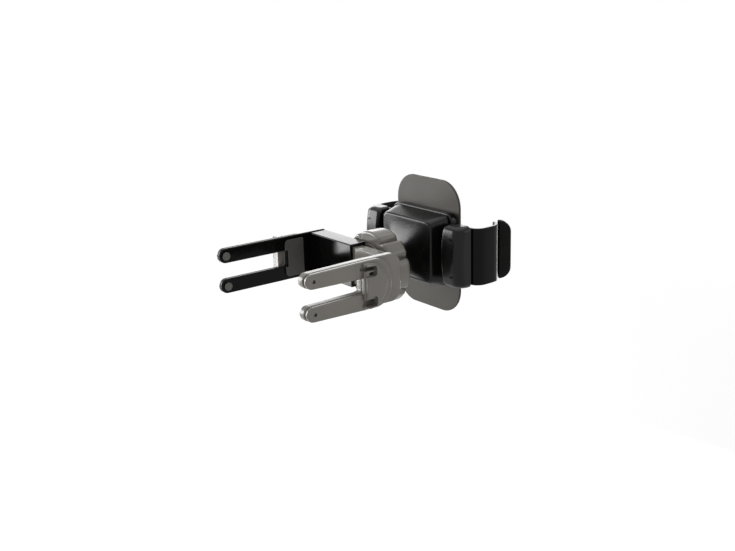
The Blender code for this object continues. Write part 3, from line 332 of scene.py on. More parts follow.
def fork_outline(length, tip, root, back, corner):
    """Side view of a fork plate: two prongs with round tips, and the root behind the slot."""
    mid = bpy.context.scene.holder_forks.pitch / 2
    half = mid + root / 2
    slot = mid - root / 2
    slot_corner = 1.4
    outline = arc((-length + tip / 2, mid), tip / 2, 90, 270, 20)
    outline += fillet([(-length, slot, 0), (0, slot, slot_corner), (0, -slot, slot_corner),
                       (-length, -slot, 0)], 6)[1:-1]
    outline += arc((-length + tip / 2, -mid), tip / 2, 90, 270, 20)
    return outline + fillet([(0, -half, 0), (back, -half, corner), (back, half, corner), (0, half, 0)], 14)


def catmull(path, parts):
    """More points on a smooth curve through a path."""
    spots = [Vector(point) for point in path]
    fine = []
    for index in range(len(spots) - 1):
        before, a, b = spots[max(index - 1, 0)], spots[index], spots[index + 1]
        after = spots[min(index + 2, len(spots) - 1)]
        for part in range(parts):
            t = part / parts
            fine.append(0.5 * (2 * a + (b - before) * t + (2 * before - 5 * a + 4 * b - after) * t * t
                               + (3 * a - before - 3 * b + after) * t ** 3))
    return fine + [spots[-1]]


def ribbon(path, width, shift=0.0, parts=5):
    """Closed outline of a band along a smooth path, moved sideways by shift."""
    fine = catmull(path, parts)
    sides = ([], [])
    for index, point in enumerate(fine):
        along = (fine[min(index + 1, len(fine) - 1)] - fine[max(index - 1, 0)]).normalized()
        normal = Vector((-along.y, along.x))
        for side, sign in zip(sides, (-1, 1)):
            side.append(point + normal * (shift + sign * width / 2))
    return sides[0] + list(reversed(sides[1]))


# ---------------------------------------------------------------- solids

# An outline's x, y and thickness become Y, Z and X, or X, Z and Y, or X, Y and Z
TO_YZ = Matrix(((0, 0, 1, 0), (1, 0, 0, 0), (0, 1, 0, 0), (0, 0, 0, 1)))
TO_XZ = Matrix(((1, 0, 0, 0), (0, 0, 1, 0), (0, 1, 0, 0), (0, 0, 0, 1)))
TO_XY = Matrix.Identity(4)


def slab(outline, start, end, turn):
    """A face on a closed outline, extruded from start to end."""
    low, high = sorted((start, end))
    bm = bmesh.new()
    bm.faces.new([bm.verts.new((point[0], point[1], low)) for point in outline])
    grown = bmesh.ops.extrude_face_region(bm, geom=bm.faces[:])
    top = [item for item in grown["geom"] if isinstance(item, bmesh.types.BMVert)]
    bmesh.ops.translate(bm, verts=top, vec=(0, 0, high - low))
    bmesh.ops.transform(bm, matrix=turn, verts=bm.verts)
    bmesh.ops.remove_doubles(bm, verts=bm.verts, dist=0.002)
    bmesh.ops.recalc_face_normals(bm, faces=bm.faces)
    return bm


def block(low, high):
    """A box from its lowest to its highest corner."""
    bm = bmesh.new()
    bmesh.ops.create_cube(bm, size=1.0)
    low, high = Vector(low), Vector(high)
    bmesh.ops.transform(bm, matrix=Matrix.Translation((low + high) / 2) @ Matrix.Diagonal((*(high - low), 1.0)),
                        verts=bm.verts)
    return bm


def rod(radius, start, end, axis="Y", at=(0.0, 0.0), segments=48):
    """A cylinder along X or Y, at a spot across it."""
    low, high = sorted((start, end))
    bm = bmesh.new()
    bmesh.ops.create_cone(bm, cap_ends=True, segments=segments, radius1=radius, radius2=radius, depth=high - low)
    half = (low + high) / 2
    turn = {"X": Matrix.Rotation(math.pi / 2, 4, "Y"), "Y": Matrix.Rotation(-math.pi / 2, 4, "X")}[axis]
    spot = {"X": (half, *at), "Y": (at[0], half, at[1])}[axis]
    bmesh.ops.transform(bm, matrix=Matrix.Translation(spot) @ turn, verts=bm.verts)
    return bm


def turned(profile, segments=96, ring=True):
    """A turned piece about the Y axis: the profile holds (radius, y)."""
    bm = bmesh.new()
    spots = [bm.verts.new((radius, y, 0.0)) for radius, y in profile]
    ends = spots[1:] + spots[:1] if ring else spots[1:]
    edges = [bm.edges.new(pair) for pair in zip(spots, ends)]
    bmesh.ops.spin(bm, geom=spots + edges, cent=(0, 0, 0), axis=(0, 1, 0), angle=2 * math.pi, steps=segments,
                   use_merge=True)
    bmesh.ops.remove_doubles(bm, verts=bm.verts, dist=0.002)
    bmesh.ops.recalc_face_normals(bm, faces=bm.faces)
    return bm


def soften(bm, width, segments=3, angle=40):
    """Round the edges of a solid that are sharper than angle, in degrees."""
    sharp = [edge for edge in bm.edges if edge.is_manifold and edge.calc_face_angle(0) > math.radians(angle)]
    bmesh.ops.bevel(bm, geom=sharp, offset=width, offset_type="OFFSET", segments=segments, profile=0.5,
                    affect="EDGES", clamp_overlap=True, material=-1)
    return bm


def loft(loops):
    """A solid skinned through loops of equal count."""
    bm = bmesh.new()
    rings = [[bm.verts.new(point) for point in loop] for loop in loops]
    edges = [[bm.edges.new((ring[i], ring[(i + 1) % len(ring)])) for i in range(len(ring))] for ring in rings]
    for first, second in zip(edges, edges[1:]):
        bmesh.ops.bridge_loops(bm, edges=first + second)
    bm.faces.new(rings[0])
    bm.faces.new(list(reversed(rings[-1])))
    bmesh.ops.recalc_face_normals(bm, faces=bm.faces)
    return bm


def as_object(name, bm, place):
    """Put a solid in its place and make it an object of the scene."""
    mesh = bpy.data.meshes.new(name)
    bmesh.ops.transform(bm, matrix=place, verts=bm.verts)
    bm.normal_update()
    bm.to_mesh(mesh)
    bm.free()
    item = bpy.data.objects.new(name, mesh)
    bpy.context.scene.collection.objects.link(item)
    return item


def piece(name, bm, body, finish_name, place=WORLD, fuse=(), cut=(), stands_for=(), smooth=35):
    """Fuse and cut a solid, then hand it to its body with its finish.

    A solid in fuse or cut stands in the piece's own place, or is a pair with a place of its own. Edges
    sharper than smooth, in degrees, stay sharp.
    """
    item = as_object(name, bm, place)
    tools = []
    for operation, solids in (("UNION", fuse), ("DIFFERENCE", cut)):
        for number, solid in enumerate(solids):
            shape, spot = solid if isinstance(solid, tuple) else (solid, place)
            tool = as_object(f"{name}_{operation.lower()}{number}", shape, spot)
            change = item.modifiers.new(tool.name, "BOOLEAN")
            change.operation = operation
            change.solver = "EXACT"
            change.object = tool
            tools.append(tool)
    bpy.context.view_layer.update()
    graph = bpy.context.evaluated_depsgraph_get()
    mesh = bpy.data.meshes.new_from_object(item.evaluated_get(graph))
    for tool in tools:
        bpy.data.objects.remove(tool, do_unlink=True)
    item.modifiers.clear()
    item.data = mesh
    mesh.name = name
    mesh.transform(Matrix.Scale(MM, 4))
    mesh.shade_smooth()
    mesh.set_sharp_from_angle(angle=math.radians(smooth))
    weigh = item.modifiers.new("even_faces", "WEIGHTED_NORMAL")
    weigh.keep_sharp = True
    mesh.materials.clear()
    mesh.materials.append(finish(finish_name))
    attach(item, body)
    if stands_for:
        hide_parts(*stands_for)


def refinish(node, finish_name):
    """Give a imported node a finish."""
    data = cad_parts[node].data
    data.materials.clear()
    data.materials.append(finish(finish_name))


# ---------------------------------------------------------------- forks

# The bridge bar's front, back and half height, and the stem's lowest and highest Z
BAR_FRONT, BAR_BACK, BAR_HALF = 15.0, 21.0, 8.6
STEM_LOW, STEM_HIGH = -6.0, 4.0
# Radius of a stud's hole in a prong, and how far pads and studs stand out of the fork's inner face
STUD_HOLE = 0.8
PAD_PROUD = 0.9
# A fork cover's back edge and corner radius, and how far each step of its cap stands back from the one below
COVER_BACK, COVER_CORNER = 14.4, 8.5
STEP_FRONT, STEP_RADIUS = 0.5, 0.4

# A fork's outward X, its inner face, its prongs' length and height at tip and root, the thickness of its
# plate and its cover, the studs' inset from the tips, the cap's front edge, and its steps as (thickness, reach)
Fork = namedtuple("Fork", "name body side face length tip root plate cover inset front steps")
FORKS = (Fork("fixed", "clip", 1, -1.8, 29.3, 6.4, 7.4, 3.6, 1.9, 4.2, -1.0, ((1.5, 11.4), (1.5, 9.3))),
         Fork("sliding", "jaw", -1, JAW[0].x + 1.5, 34.6, 6.7, 6.7, 1.5, 1.0, 3.1, -3.2, ((2.6, 11.4), (2.4, 9.3))))

# A thumb cap's pockets: width, height, corner radius, Y, prong (1 upper, -1 lower), Z from there, and depth
# under the cap's top, or None where only the cover's skin is left
CAP_SKIN = 0.7
Pocket = namedtuple("Pocket", "width tall corner y prong z depth")
POCKETS = (Pocket(7.0, 4.6, 1.4, 1.0, 1, 0.0, 1.3), Pocket(6.6, 1.9, 0.5, 1.0, 1, 1.1, None),
           Pocket(2.6, 1.5, 0.4, 2.6, 1, -1.3, None), Pocket(7.0, 4.6, 1.4, 1.0, -1, 0.0, 1.0),
           Pocket(5.4, 3.2, 0.7, 1.6, -1, -0.6, None))


def cap_outline(front, reach, radius):
    """The thumb cap's D: a straight front edge and a round rear."""
    corners = fillet([(1, radius, 0), (front, radius, 1), (front, -radius, 1), (1, -radius, 0)], 6)
    rear = [Vector((1 + (reach - 1) * math.cos(a), radius * math.sin(a)))
            for a in (math.pi * (step / 40 - 0.5) for step in range(1, 40))]
    return corners + rear


def fork_cover(fork):
    """A fork's outer plate with its stepped thumb cap."""
    sizes = bpy.context.scene.holder_forks
    face = fork.face + fork.side * (fork.plate + FIT)

    def layer(outline, near, far):
        return slab(outline, face + fork.side * near, face + fork.side * far, TO_YZ)

    length = fork.length - (FIT if fork.side > 0 else 0)
    outline = fork_outline(length, fork.tip, fork.root, COVER_BACK, COVER_CORNER)
    cover = soften(layer(outline, 0, fork.cover), min(sizes.edge, fork.cover / 3))
    steps, radius, height = [], sizes.cap_radius, fork.cover
    base = height / 2
    for index, (thickness, reach) in enumerate(fork.steps):
        outline = cap_outline(fork.front + index * STEP_FRONT, reach, radius)
        steps.append(soften(layer(outline, base, height + thickness), sizes.cap_rounding, 4))
        base = height + thickness / 2
        height += thickness
        radius -= STEP_RADIUS
    cutters = [rod(STUD_HOLE, face - fork.side, face + fork.side * (fork.cover + 1), "X", spot, 24)
               for spot in stud_spots(fork)]
    mid = sizes.pitch / 2 - 0.4
    for pocket in POCKETS:
        floor = height - pocket.depth if pocket.depth else CAP_SKIN
        spot = (pocket.y, pocket.prong * mid + pocket.z)
        outline = rounded_rectangle(pocket.width, pocket.tall, pocket.corner, 6, spot)
        cutters.append(layer(outline, floor, height + 1))
    piece(f"{fork.name}_thumb_cap", cover, fork.body, "smoke_plastic", fuse=steps, cut=cutters,
          stands_for=(f"{fork.name}_fork_cover",))


def stud_spots(fork):
    """(Y, Z) of the studs near a fork's tips, the upper one first."""
    mid = bpy.context.scene.holder_forks.pitch / 2
    return [(-fork.length + fork.inset, mid), (-fork.length + fork.inset, -mid)]


def fork_pad(fork):
    """Thin pad on a fork's inner face, round the slot's root."""
    sizes = bpy.context.scene.holder_forks
    half = sizes.cap_radius - 1.2
    slot = (sizes.pitch - fork.root) / 2 + FIT
    front, notch, back = -1.0, 0.5, 9.1
    outline = fillet([(front, -half, 2), (back, -half, 0.6), (back, half, 0.6), (front, half, 2),
                      (front, slot, 0.3), (notch, slot, 0.3), (notch, -slot, 0.3), (front, -slot, 0.3)], 6)
    near, far = fork.face - fork.side * PAD_PROUD, fork.face - fork.side * FIT
    piece(f"{fork.name}_grip_pad", soften(slab(outline, near, far, TO_YZ), 0.2, 2), fork.body, "pad_rubber",
          stands_for=(f"{fork.name}_fork_pad",))


def grip_stud(fork, label, spot):
    """A stud whose head grips the vent blade; its stem fills the prong's hole."""
    face, side = fork.face, fork.side
    head_radius, stem_radius, sunk = 1.85, 0.5, 0.6
    head = soften(rod(head_radius, face - side * PAD_PROUD, face - side * FIT, "X", spot, 48), 0.22, 3)
    stem = rod(stem_radius, face - side * sunk, face + side * (fork.plate + FIT + fork.cover - sunk), "X", spot, 20)
    piece(f"{fork.name}_grip_{label}", head, fork.body, "grip_rubber", fuse=(stem,),
          stands_for=(f"{fork.name}_stud_{label}",))


# ---------------------------------------------------------------- operators

# The cup's outer radius and its mouth's Y from the ball's middle, how far the liner's outside stands off the
# ball, and the radius of the spindle's hole
CUP_RADIUS = 11.5
CUP_MOUTH = 2.2
LINER_OUT = 1.5
SPINDLE_HOLE = 2.6


class HOLDER_OT_clip_body(bpy.types.Operator):
    """Bridge bar, fixed fork plate, stem and ball cup"""

    bl_idname = "holder.clip_body"
    bl_label = "Clip Body"

    def execute(self, context):
        shape = FORKS[0]
        half = shape.plate / 2
        outline = fork_outline(shape.length, shape.tip, shape.root, BAR_BACK, 5.0)
        fork = soften(slab(outline, -half, half, TO_YZ), context.scene.holder_forks.edge)
        bar = soften(block((FIXED[0].x, BAR_FRONT, -BAR_HALF), (0, BAR_BACK, BAR_HALF)), 0.6)
        stem = soften(block((BALL.x - 8, BAR_BACK - 1, STEM_LOW), (BALL.x + 8, BALL.y - 6, STEM_HIGH)), 1.0)
        # Y from the ball's middle, below zero on the bar's side
        cup_back, bore_back, slit_back, cup_front = -7.4, -6.7, -4.5, 1.2
        cup = soften(rod(CUP_RADIUS, cup_back, cup_front, segments=96), 0.5)
        bore, back_radius = BALL_RADIUS + LINER_OUT + FIT, 7.9
        low, high = math.asin(bore_back / bore), math.asin(CUP_MOUTH / bore)
        profile = [(back_radius * math.sin(a), -back_radius * math.cos(a)) for a in (0, 0.17, 0.34, 0.53)]
        profile += on_circle(bore, [low + (high - low) * k / 10 for k in range(11)]) + [(0, CUP_MOUTH)]
        cutters = [(turned(profile, 96, ring=False), JOINT)]
        for degrees in (45, 135):
            slit = block((-CUP_RADIUS - 1, slit_back, -0.6), (CUP_RADIUS + 1, CUP_MOUTH, 0.6))
            cutters.append((slit, JOINT @ Matrix.Rotation(math.radians(degrees), 4, "Y")))
        brake_low, brake_high = packed("brake_pad")
        cutters.append(block((brake_low.x - FIT, BAR_FRONT - 1, brake_low.z - FIT),
                             (brake_high.x + FIT, brake_high.y + FIT, brake_high.z + FIT)))
        cutters += [rod(STUD_HOLE, -half - 1, half + 1, "X", spot, 24) for spot in stud_spots(shape)]
        piece("bridge_and_cup", fork, "clip", "smoke_plastic", fuse=[bar, stem, (cup, JOINT)], cut=cutters,
              stands_for=("clip_body",))
        refinish("brake_pad", "black_rubber")
        return {"FINISHED"}


class HOLDER_OT_sliding_jaw(bpy.types.Operator):
    """Sleeve that runs on the bridge bar, with the sliding fork's plate"""

    bl_idname = "holder.sliding_jaw"
    bl_label = "Sliding Jaw"

    def execute(self, context):
        shape = FORKS[1]
        outer, inner, end = shape.face - shape.plate, shape.face, JAW[1].x
        wall = 1.0
        front, back, half = BAR_FRONT - FIT - wall, BAR_BACK + FIT + wall, BAR_HALF + FIT + wall
        outline = fork_outline(shape.length, shape.tip, shape.root, back + 0.1, 1.0)
        fork = soften(slab(outline, outer, inner, TO_YZ), shape.plate / 3)
        sleeve = soften(block((outer + shape.plate / 2, front, -half), (end, back, half)), 0.5)
        bore = block((outer - 1, front + wall, -half + wall), (end + 1, back - wall, half - wall))
        slot = block((inner + 4, BAR_BACK, STEM_LOW - 0.4), (end + 1, back + 1, STEM_HIGH + 0.4))
        holes = [rod(STUD_HOLE, outer - 1, inner + 1, "X", spot, 24) for spot in stud_spots(shape)]
        piece("jaw_and_sleeve", fork, "jaw", "gloss_black_plastic", fuse=[sleeve], cut=[bore, slot, *holes],
              stands_for=("sliding_jaw",))
        return {"FINISHED"}


class HOLDER_OT_fork_covers(bpy.types.Operator):
    """Outer plates of both forks with their thumb caps"""

    bl_idname = "holder.fork_covers"
    bl_label = "Fork Covers"

    def execute(self, context):
        for fork in FORKS:
            fork_cover(fork)
        return {"FINISHED"}


class HOLDER_OT_fork_grips(bpy.types.Operator):
    """Studs near the prongs' tips and pads round the slots"""

    bl_idname = "holder.fork_grips"
    bl_label = "Fork Studs and Pads"

    def execute(self, context):
        for fork in FORKS:
            fork_pad(fork)
            for label, spot in zip(("upper", "lower"), stud_spots(fork)):
                grip_stud(fork, label, spot)
        return {"FINISHED"}


class HOLDER_OT_clamp_nut(bpy.types.Operator):
    """Ring nut with broad facets between pairs of grip grooves"""

    bl_idname = "holder.clamp_nut"
    bl_label = "Clamp Nut"

    def execute(self, context):
        sizes = context.scene.holder_joint
        radius = (NUT[1].x - NUT[0].x) / 2
        front, back = NUT[0].y - BALL.y, NUT[1].y - BALL.y
        seat, bore, front_edge, back_edge = 9.3, 11.8, 1.2, 1.8
        lip_start = 1.7
        lip = on_circle(seat, [math.asin(y / seat) for y in (back, 2.6, lip_start)])
        outside = arc((radius - front_edge, front + front_edge), front_edge, 270, 360, 6)
        outside += arc((radius - back_edge, back - back_edge), back_edge, 0, 90, 8)
        profile = [(bore, front), (bore + 1.5, front), *[(p.x, p.y) for p in outside], *lip, (bore, lip_start)]
        nut = turned(profile, segments=480)
        grooves = [math.radians(a + 90 * quarter) for quarter in range(4)
                   for a in (sizes.groove_first, sizes.groove_second)]
        # The grooves are pressed into the outside, and fade towards the bore
        inmost = bore + 1
        for vert in nut.verts:
            reach = math.hypot(vert.co.x, vert.co.z)
            if reach < inmost:
                continue
            around = math.atan2(vert.co.x, vert.co.z)
            for angle in grooves:
                off = (around - angle + math.pi) % (2 * math.pi) - math.pi
                across = abs(off) * radius / (sizes.groove_width / 2)
                if across < 1:
                    depth = sizes.groove_depth * (1 - across) ** 1.6
                    share = min(1.0, max(0.0, (reach - inmost) / (radius - inmost)))
                    scale = 1 - depth * share / reach
                    vert.co.x *= scale
                    vert.co.z *= scale
        piece("grooved_nut", nut, "nut", "smoke_plastic", JOINT, stands_for=("clamp_nut",),
              smooth=50)
        return {"FINISHED"}


class HOLDER_OT_ball_joint(bpy.types.Operator):
    """Ball, its slotted liner and the spindle screw"""

    bl_idname = "holder.ball_joint"
    bl_label = "Ball Joint"

    def execute(self, context):
        radius, half = BALL_RADIUS, BALL_HALF_LENGTH
        limit = math.degrees(math.asin(half / radius))
        rounds = [(p.x, p.y) for p in arc((0, 0), radius, limit, -limit, 36)]
        piece("pivot_ball", turned([(SPINDLE_HOLE, half), *rounds, (SPINDLE_HOLE, -half)], 96), "ball",
              "gloss_black_plastic", JOINT, stands_for=("ball",), smooth=30)
        inner, outer = radius + FIT, radius + LINER_OUT
        angles = [math.radians(-30 + 49.5 * k / 16) for k in range(17)]
        ring = on_circle(outer, reversed(angles)) + on_circle(inner, angles)
        piece("slotted_liner", turned(ring, 96), "liner", "nylon", JOINT,
              cut=[block((0, -radius, -0.5), (CUP_RADIUS, radius, 0.5))], stands_for=("friction_liner",))
        refinish("spindle_screw", "zinc_steel")
        refinish("neck_spindle", "zinc_steel")
        return {"FINISHED"}


# The housing's half width, and its front and its shoulder round the ball as Y from the ball's middle
HOUSING_WIDE = (HOUSING[1].x - HOUSING[0].x) / 2
HOUSING_FRONT = HOUSING[1].y - BALL.y
SHOULDER = BALL_HALF_LENGTH + FIT
# Lowest and highest Z of the windows that the arms' rails pass through, radius and Z of the springs' pins, and
# X and Z of the pegs that join an arm and its cover
WINDOW = (4.3, 10.0)
PIN_RADIUS, PIN_Z = 0.45, 11.9
PEG_X, PEG_Z = 29.3, 8


def section_loop(y, half_x, half_z, z, roundness, count):
    """A loop that goes from a rounded rectangle to a circle as roundness goes from 0 to 1."""
    power = 2 + 10 * (1 - roundness) ** 2
    loop = []
    for index in range(count):
        angle = 2 * math.pi * (index + 0.5) / count
        c, s = math.cos(angle), math.sin(angle)
        reach = (abs(c) ** power + abs(s) ** power) ** (-1 / power)
        loop.append((half_x * reach * c, y, z + half_z * reach * s))
    return loop


def housing_solid():
    """The housing from its front to its neck: drafted walls, a rounded edge, the flare and the shoulder."""
    sizes = bpy.context.scene.holder_joint
    count, neck = sizes.loop_points, sizes.neck_radius
    lift = middle("back_plate").z - BALL.z
    tall = (HOUSING[1].z - HOUSING[0].z) / 2
    rim = HOUSING_FRONT - sizes.box_depth
    edge, edge_x, edge_z = 1.2, HOUSING_WIDE - 1.73, tall - 1.91
    loops = [section_loop(HOUSING_FRONT, HOUSING_WIDE, tall, lift, 0, count),
             section_loop(rim + edge, edge_x, edge_z, lift, 0, count)]
    for step in range(1, 7):
        angle = math.pi / 2 * step / 6
        inset = edge * (1 - math.cos(angle))
        loops.append(section_loop(rim + edge * (1 - math.sin(angle)), edge_x - inset, edge_z - inset, lift, 0,
                                  count))
    start_x, start_z = edge_x - edge, edge_z - edge
    for step in range(1, 23):
        angle = math.pi / 2 * step / 22
        shrink = math.sin(angle)
        loops.append(section_loop(rim - sizes.flare_depth * (1 - math.cos(angle)),
                                  start_x + (neck - start_x) * shrink, start_z + (neck - start_z) * shrink,
                                  lift * (1 - shrink), shrink, count))
    rounding = 0.4
    loops.append(section_loop(SHOULDER + rounding, neck, neck, 0, 1, count))
    loops.append(section_loop(SHOULDER, neck - rounding, neck - rounding, 0, 1, count))
    return loft(loops)


def housing_cutters(floor):
    """The cross-shaped cavity for rails and springs, its windows, the screw holes and the spindle's hole."""
    open_end = HOUSING_FRONT + 1
    wide_x, wide_z, tall_x, tall_z = 16.4, 10.4, 12, 13.5
    cavity = fillet([(-wide_x, -wide_z, 1), (-tall_x, -wide_z, 0), (-tall_x, -tall_z, 1), (tall_x, -tall_z, 1),
                     (tall_x, -wide_z, 0), (wide_x, -wide_z, 1), (wide_x, wide_z, 1), (tall_x, wide_z, 0),
                     (tall_x, tall_z, 1), (-tall_x, tall_z, 1), (-tall_x, wide_z, 0), (-wide_x, wide_z, 1)], 5)
    cutters = [(slab(cavity, floor, open_end, TO_XZ), CRADLE)]
    for side in (1, -1):
        near, far = sorted((side * (wide_x - 1), side * (HOUSING_WIDE + 1)))
        low, high = sorted(side * z for z in WINDOW)
        cutters.append((block((near, floor, low), (far, open_end, high)), CRADLE))
    screw_x, screw_z, screw_radius = 14.6, 13, 1.2
    for x, z in ((-screw_x, -screw_z), (screw_x, -screw_z), (screw_x, screw_z), (-screw_x, screw_z)):
        cutters.append((rod(screw_radius, floor - 1.2, open_end, at=(x, z), segments=32), CRADLE))
    cutters.append((rod(SPINDLE_HOLE, SHOULDER - 1, SHOULDER + 6.5, segments=48), JOINT))
    return cutters


class HOLDER_OT_housing(bpy.types.Operator):
    """Housing of the rack and pinion, flared like a trumpet into the neck"""

    bl_idname = "holder.housing"
    bl_label = "Housing"

    def execute(self, context):
        floor, end = HOUSING_FRONT - 4.0, HOUSING_FRONT - FIT
        cutters = housing_cutters(floor)
        piece("trumpet_housing", housing_solid(), "cradle", "satin_black_plastic", JOINT, cut=cutters,
              stands_for=("rear_housing",), smooth=32)
        # The pinion's post, and a pin for each spring's fixed end
        post_radius = 1.3
        posts = [(rod(post_radius, floor - 1, end, segments=32), CRADLE)]
        posts += [(rod(PIN_RADIUS, floor - 1, end, at=(-10.6, PIN_Z), segments=20), turn) for _, turn in SIDES]
        for number, (shape, turn) in enumerate(posts):
            piece(f"housing_post_{number + 1}", shape, "cradle", "satin_black_plastic", turn)
        return {"FINISHED"}


class HOLDER_OT_mechanism(bpy.types.Operator):
    """Finishes of the pinion, springs, shell and screws inside the cradle"""

    bl_idname = "holder.mechanism"
    bl_label = "Cradle Mechanism"

    def execute(self, context):
        refinish("sync_pinion", "nylon")
        refinish("front_shell", "satin_black_plastic")
        for node in ("left_return_spring", "right_return_spring", *[f"housing_screw_{n}" for n in range(1, 5)]):
            refinish(node, "zinc_steel")
        return {"FINISHED"}


class HOLDER_OT_back_plate(bpy.types.Operator):
    """The cradle's thin plate with its rubber pad"""

    bl_idname = "holder.back_plate"
    bl_label = "Back Plate"

    def execute(self, context):
        corner = context.scene.holder_cradle.plate_corner
        low, high = PLATE
        width, height = high.x - low.x, high.z - low.z
        back, front = low.y - BALL.y, high.y - BALL.y
        plate = soften(slab(rounded_rectangle(width, height, corner, 20), back, front, TO_XZ), 0.35)

        def inset(margin):
            return rounded_rectangle(width - 2 * margin, height - 2 * margin, corner - margin, 16)

        margin = 2.7
        recess = slab(inset(margin), front - 0.5, front + 1, TO_XZ)
        piece("phone_plate", plate, "cradle", "plate_plastic", CRADLE, cut=[recess], stands_for=("back_plate",))
        pad = soften(slab(inset(margin + FIT), front - 0.2, front + 0.3, TO_XZ), 0.12, 2)
        piece("plate_pad", pad, "cradle", "black_rubber", CRADLE, stands_for=("phone_pad",))
        return {"FINISHED"}


# The middle of an arm's strip in (X, Y), and its lip's two ends
ARM_PATH = ((28.5, 25.0), (32.3, 25.1), (34.6, 26.1), (35.8, 27.9), (36.05, 30.0), (36.0, 33.0), (35.75, 35.6),
            (34.9, 37.8), (33.2, 39.4), (30.2, 41.0))
LIP = (Vector((30.6, 40.7)), Vector((33.7, 46.4)))
LIP_LENGTH = (LIP[1] - LIP[0]).length


def lip_place(place):
    """Frame of an arm's lip: X runs along the lip, Y across its thickness."""
    along = LIP[1] - LIP[0]
    return (place @ Matrix.Translation((LIP[0].x, LIP[0].y, 0))
            @ Matrix.Rotation(math.atan2(along.y, along.x), 4, "Z"))


def lip_slab(start, end, half_height, corner, half_wall):
    """A plate along the lip whose far corners are round."""
    outline = fillet([(start, -half_height, 0), (end, -half_height, corner), (end, half_height, corner),
                      (start, half_height, 0)], 10)
    return slab(outline, -half_wall, half_wall, TO_XZ)


def rail_outline():
    """A rail in (X, Z) with its rack along the lower edge."""
    pitch, slope = math.pi, math.tan(math.radians(25))
    half = (pitch / 2 - FIT) / 2
    top, root, dedendum, addendum = 9.7, 6.05, 1.05, 0.85
    tip = root - dedendum - addendum
    outline = [Vector((-12, top)), Vector((-12, root))]
    for tooth in range(-3, 3):
        x = tooth * pitch
        outline += [Vector((x - half - dedendum * slope, root)), Vector((x - half + addendum * slope, tip)),
                    Vector((x + half - addendum * slope, tip)), Vector((x + half + dedendum * slope, root))]
    return outline + [Vector((10, root)), Vector((11, 4.6)), Vector((27, 4.6)), Vector((27, top))]


class HOLDER_OT_arms(bpy.types.Operator):
    """Both arms: rail, root, curved strip and flared lip"""

    bl_idname = "holder.arms"
    bl_label = "Arms"

    def execute(self, context):
        sizes = context.scene.holder_cradle
        half = sizes.arm_height / 2
        front = HOUSING_FRONT
        for side, place in SIDES:
            strip = soften(slab(ribbon(ARM_PATH, sizes.arm_wall), -half, half, TO_XY), 0.45, 3, 60)
            flange = soften(block((24.6, 23.8, -half + 0.2), (33, 26.1, half - 0.2)), 0.4)
            root = soften(block((26, 19.5, -half + 0.7), (32.3, 24.4, half - 0.7)), 0.3, 2)
            rail = slab(rail_outline(), front - 3.7, front - FIT, TO_XZ)
            tab = block((0.8, front - 3.6, 9.2), (2.4, front - 3.1, 12.7))
            pin = rod(PIN_RADIUS, front - 3.4, front - FIT, at=(1.6, PIN_Z), segments=20)
            lip = lip_slab(-0.2, LIP_LENGTH, half - 0.6, sizes.lip_corner, 0.6)
            holes = [rod(1.4, 18.5, 23, at=(PEG_X, sign * PEG_Z), segments=32) for sign in (1, -1)]
            piece(f"{side}_arm_strip", strip, f"{side}_arm", "gloss_black_plastic", place,
                  fuse=[flange, root, rail, tab, pin, (lip, lip_place(place))], cut=holes,
                  stands_for=(f"{side}_arm",))
        return {"FINISHED"}


def curled(left, radius):
    """How far a wall has curled in where left remains to the end that it curls round."""
    return radius - math.sqrt(max(radius ** 2 - max(radius - left, 0) ** 2, 0))


def cover_shape(inset, top):
    """A barrel-shaped cap, skinned along Z, with its walls moved in by inset."""
    sizes = bpy.context.scene.holder_cradle
    half, ends, corner = 14.1 - inset, 2.3 - inset, 2.5 - inset
    loops = []
    for step in range(-24, 25):
        z = half * math.sin(math.pi / 2 * step / 24)
        left = half - abs(z)
        face = 15.0 + inset + sizes.cover_dome * (z / half) ** 2 + curled(left, ends)
        near, far = 22.5 + inset + curled(left, corner), 34.0 - inset - curled(left, corner)
        outline = fillet([(near, top, 0), (near, face, 1.8 - inset), (far, face, sizes.cover_rounding - inset),
                          (far, top, 0)], 8)
        loops.append([(x, y, z) for x, y in outline])
    return loft(loops)


class HOLDER_OT_arm_covers(bpy.types.Operator):
    """Rounded caps over the arms' roots"""

    bl_idname = "holder.arm_covers"
    bl_label = "Arm Covers"

    def execute(self, context):
        for side, place in SIDES:
            shell, inside = cover_shape(0, 23.4), cover_shape(1.2, 26.4)
            window = block((21.5, 19.3, WINDOW[0]), (24.9, 24.4, WINDOW[1]))
            piece(f"{side}_root_cap", shell, f"{side}_arm", "satin_black_plastic", place, cut=[inside, window],
                  stands_for=(f"{side}_arm_cover",), smooth=32)
            for number, sign in enumerate((1, -1)):
                peg = rod(1.1, 15.6, 22.5, at=(PEG_X, sign * PEG_Z), segments=32)
                piece(f"{side}_cap_peg_{number + 1}", peg, f"{side}_arm", "satin_black_plastic", place)
        return {"FINISHED"}


class HOLDER_OT_arm_rubbers(bpy.types.Operator):
    """Rubber boots on the lips and grip pads in the arms"""

    bl_idname = "holder.arm_rubbers"
    bl_label = "Lip Boots and Grip Pads"

    def execute(self, context):
        sizes = context.scene.holder_cradle
        half = sizes.arm_height / 2
        for side, place in SIDES:
            boot = lip_slab(1.9, LIP_LENGTH + 1.0, half + 0.4, sizes.lip_corner + 0.7, 1.6)
            soften(boot, 0.7, 4)
            pocket = lip_slab(0.9, LIP_LENGTH + FIT, half - FIT, sizes.lip_corner, 0.9)
            piece(f"{side}_rubber_boot", boot, f"{side}_arm", "black_rubber", lip_place(place), cut=[pocket],
                  stands_for=(f"{side}_lip_boot",))
            pad = slab(ribbon(ARM_PATH[4:7], 0.5, sizes.arm_wall / 2 + FIT + 0.25), -11, 11, TO_XY)
            piece(f"{side}_strip_pad", soften(pad, 0.12, 2), f"{side}_arm", "black_rubber", place,
                  stands_for=(f"{side}_grip_pad",))
        return {"FINISHED"}


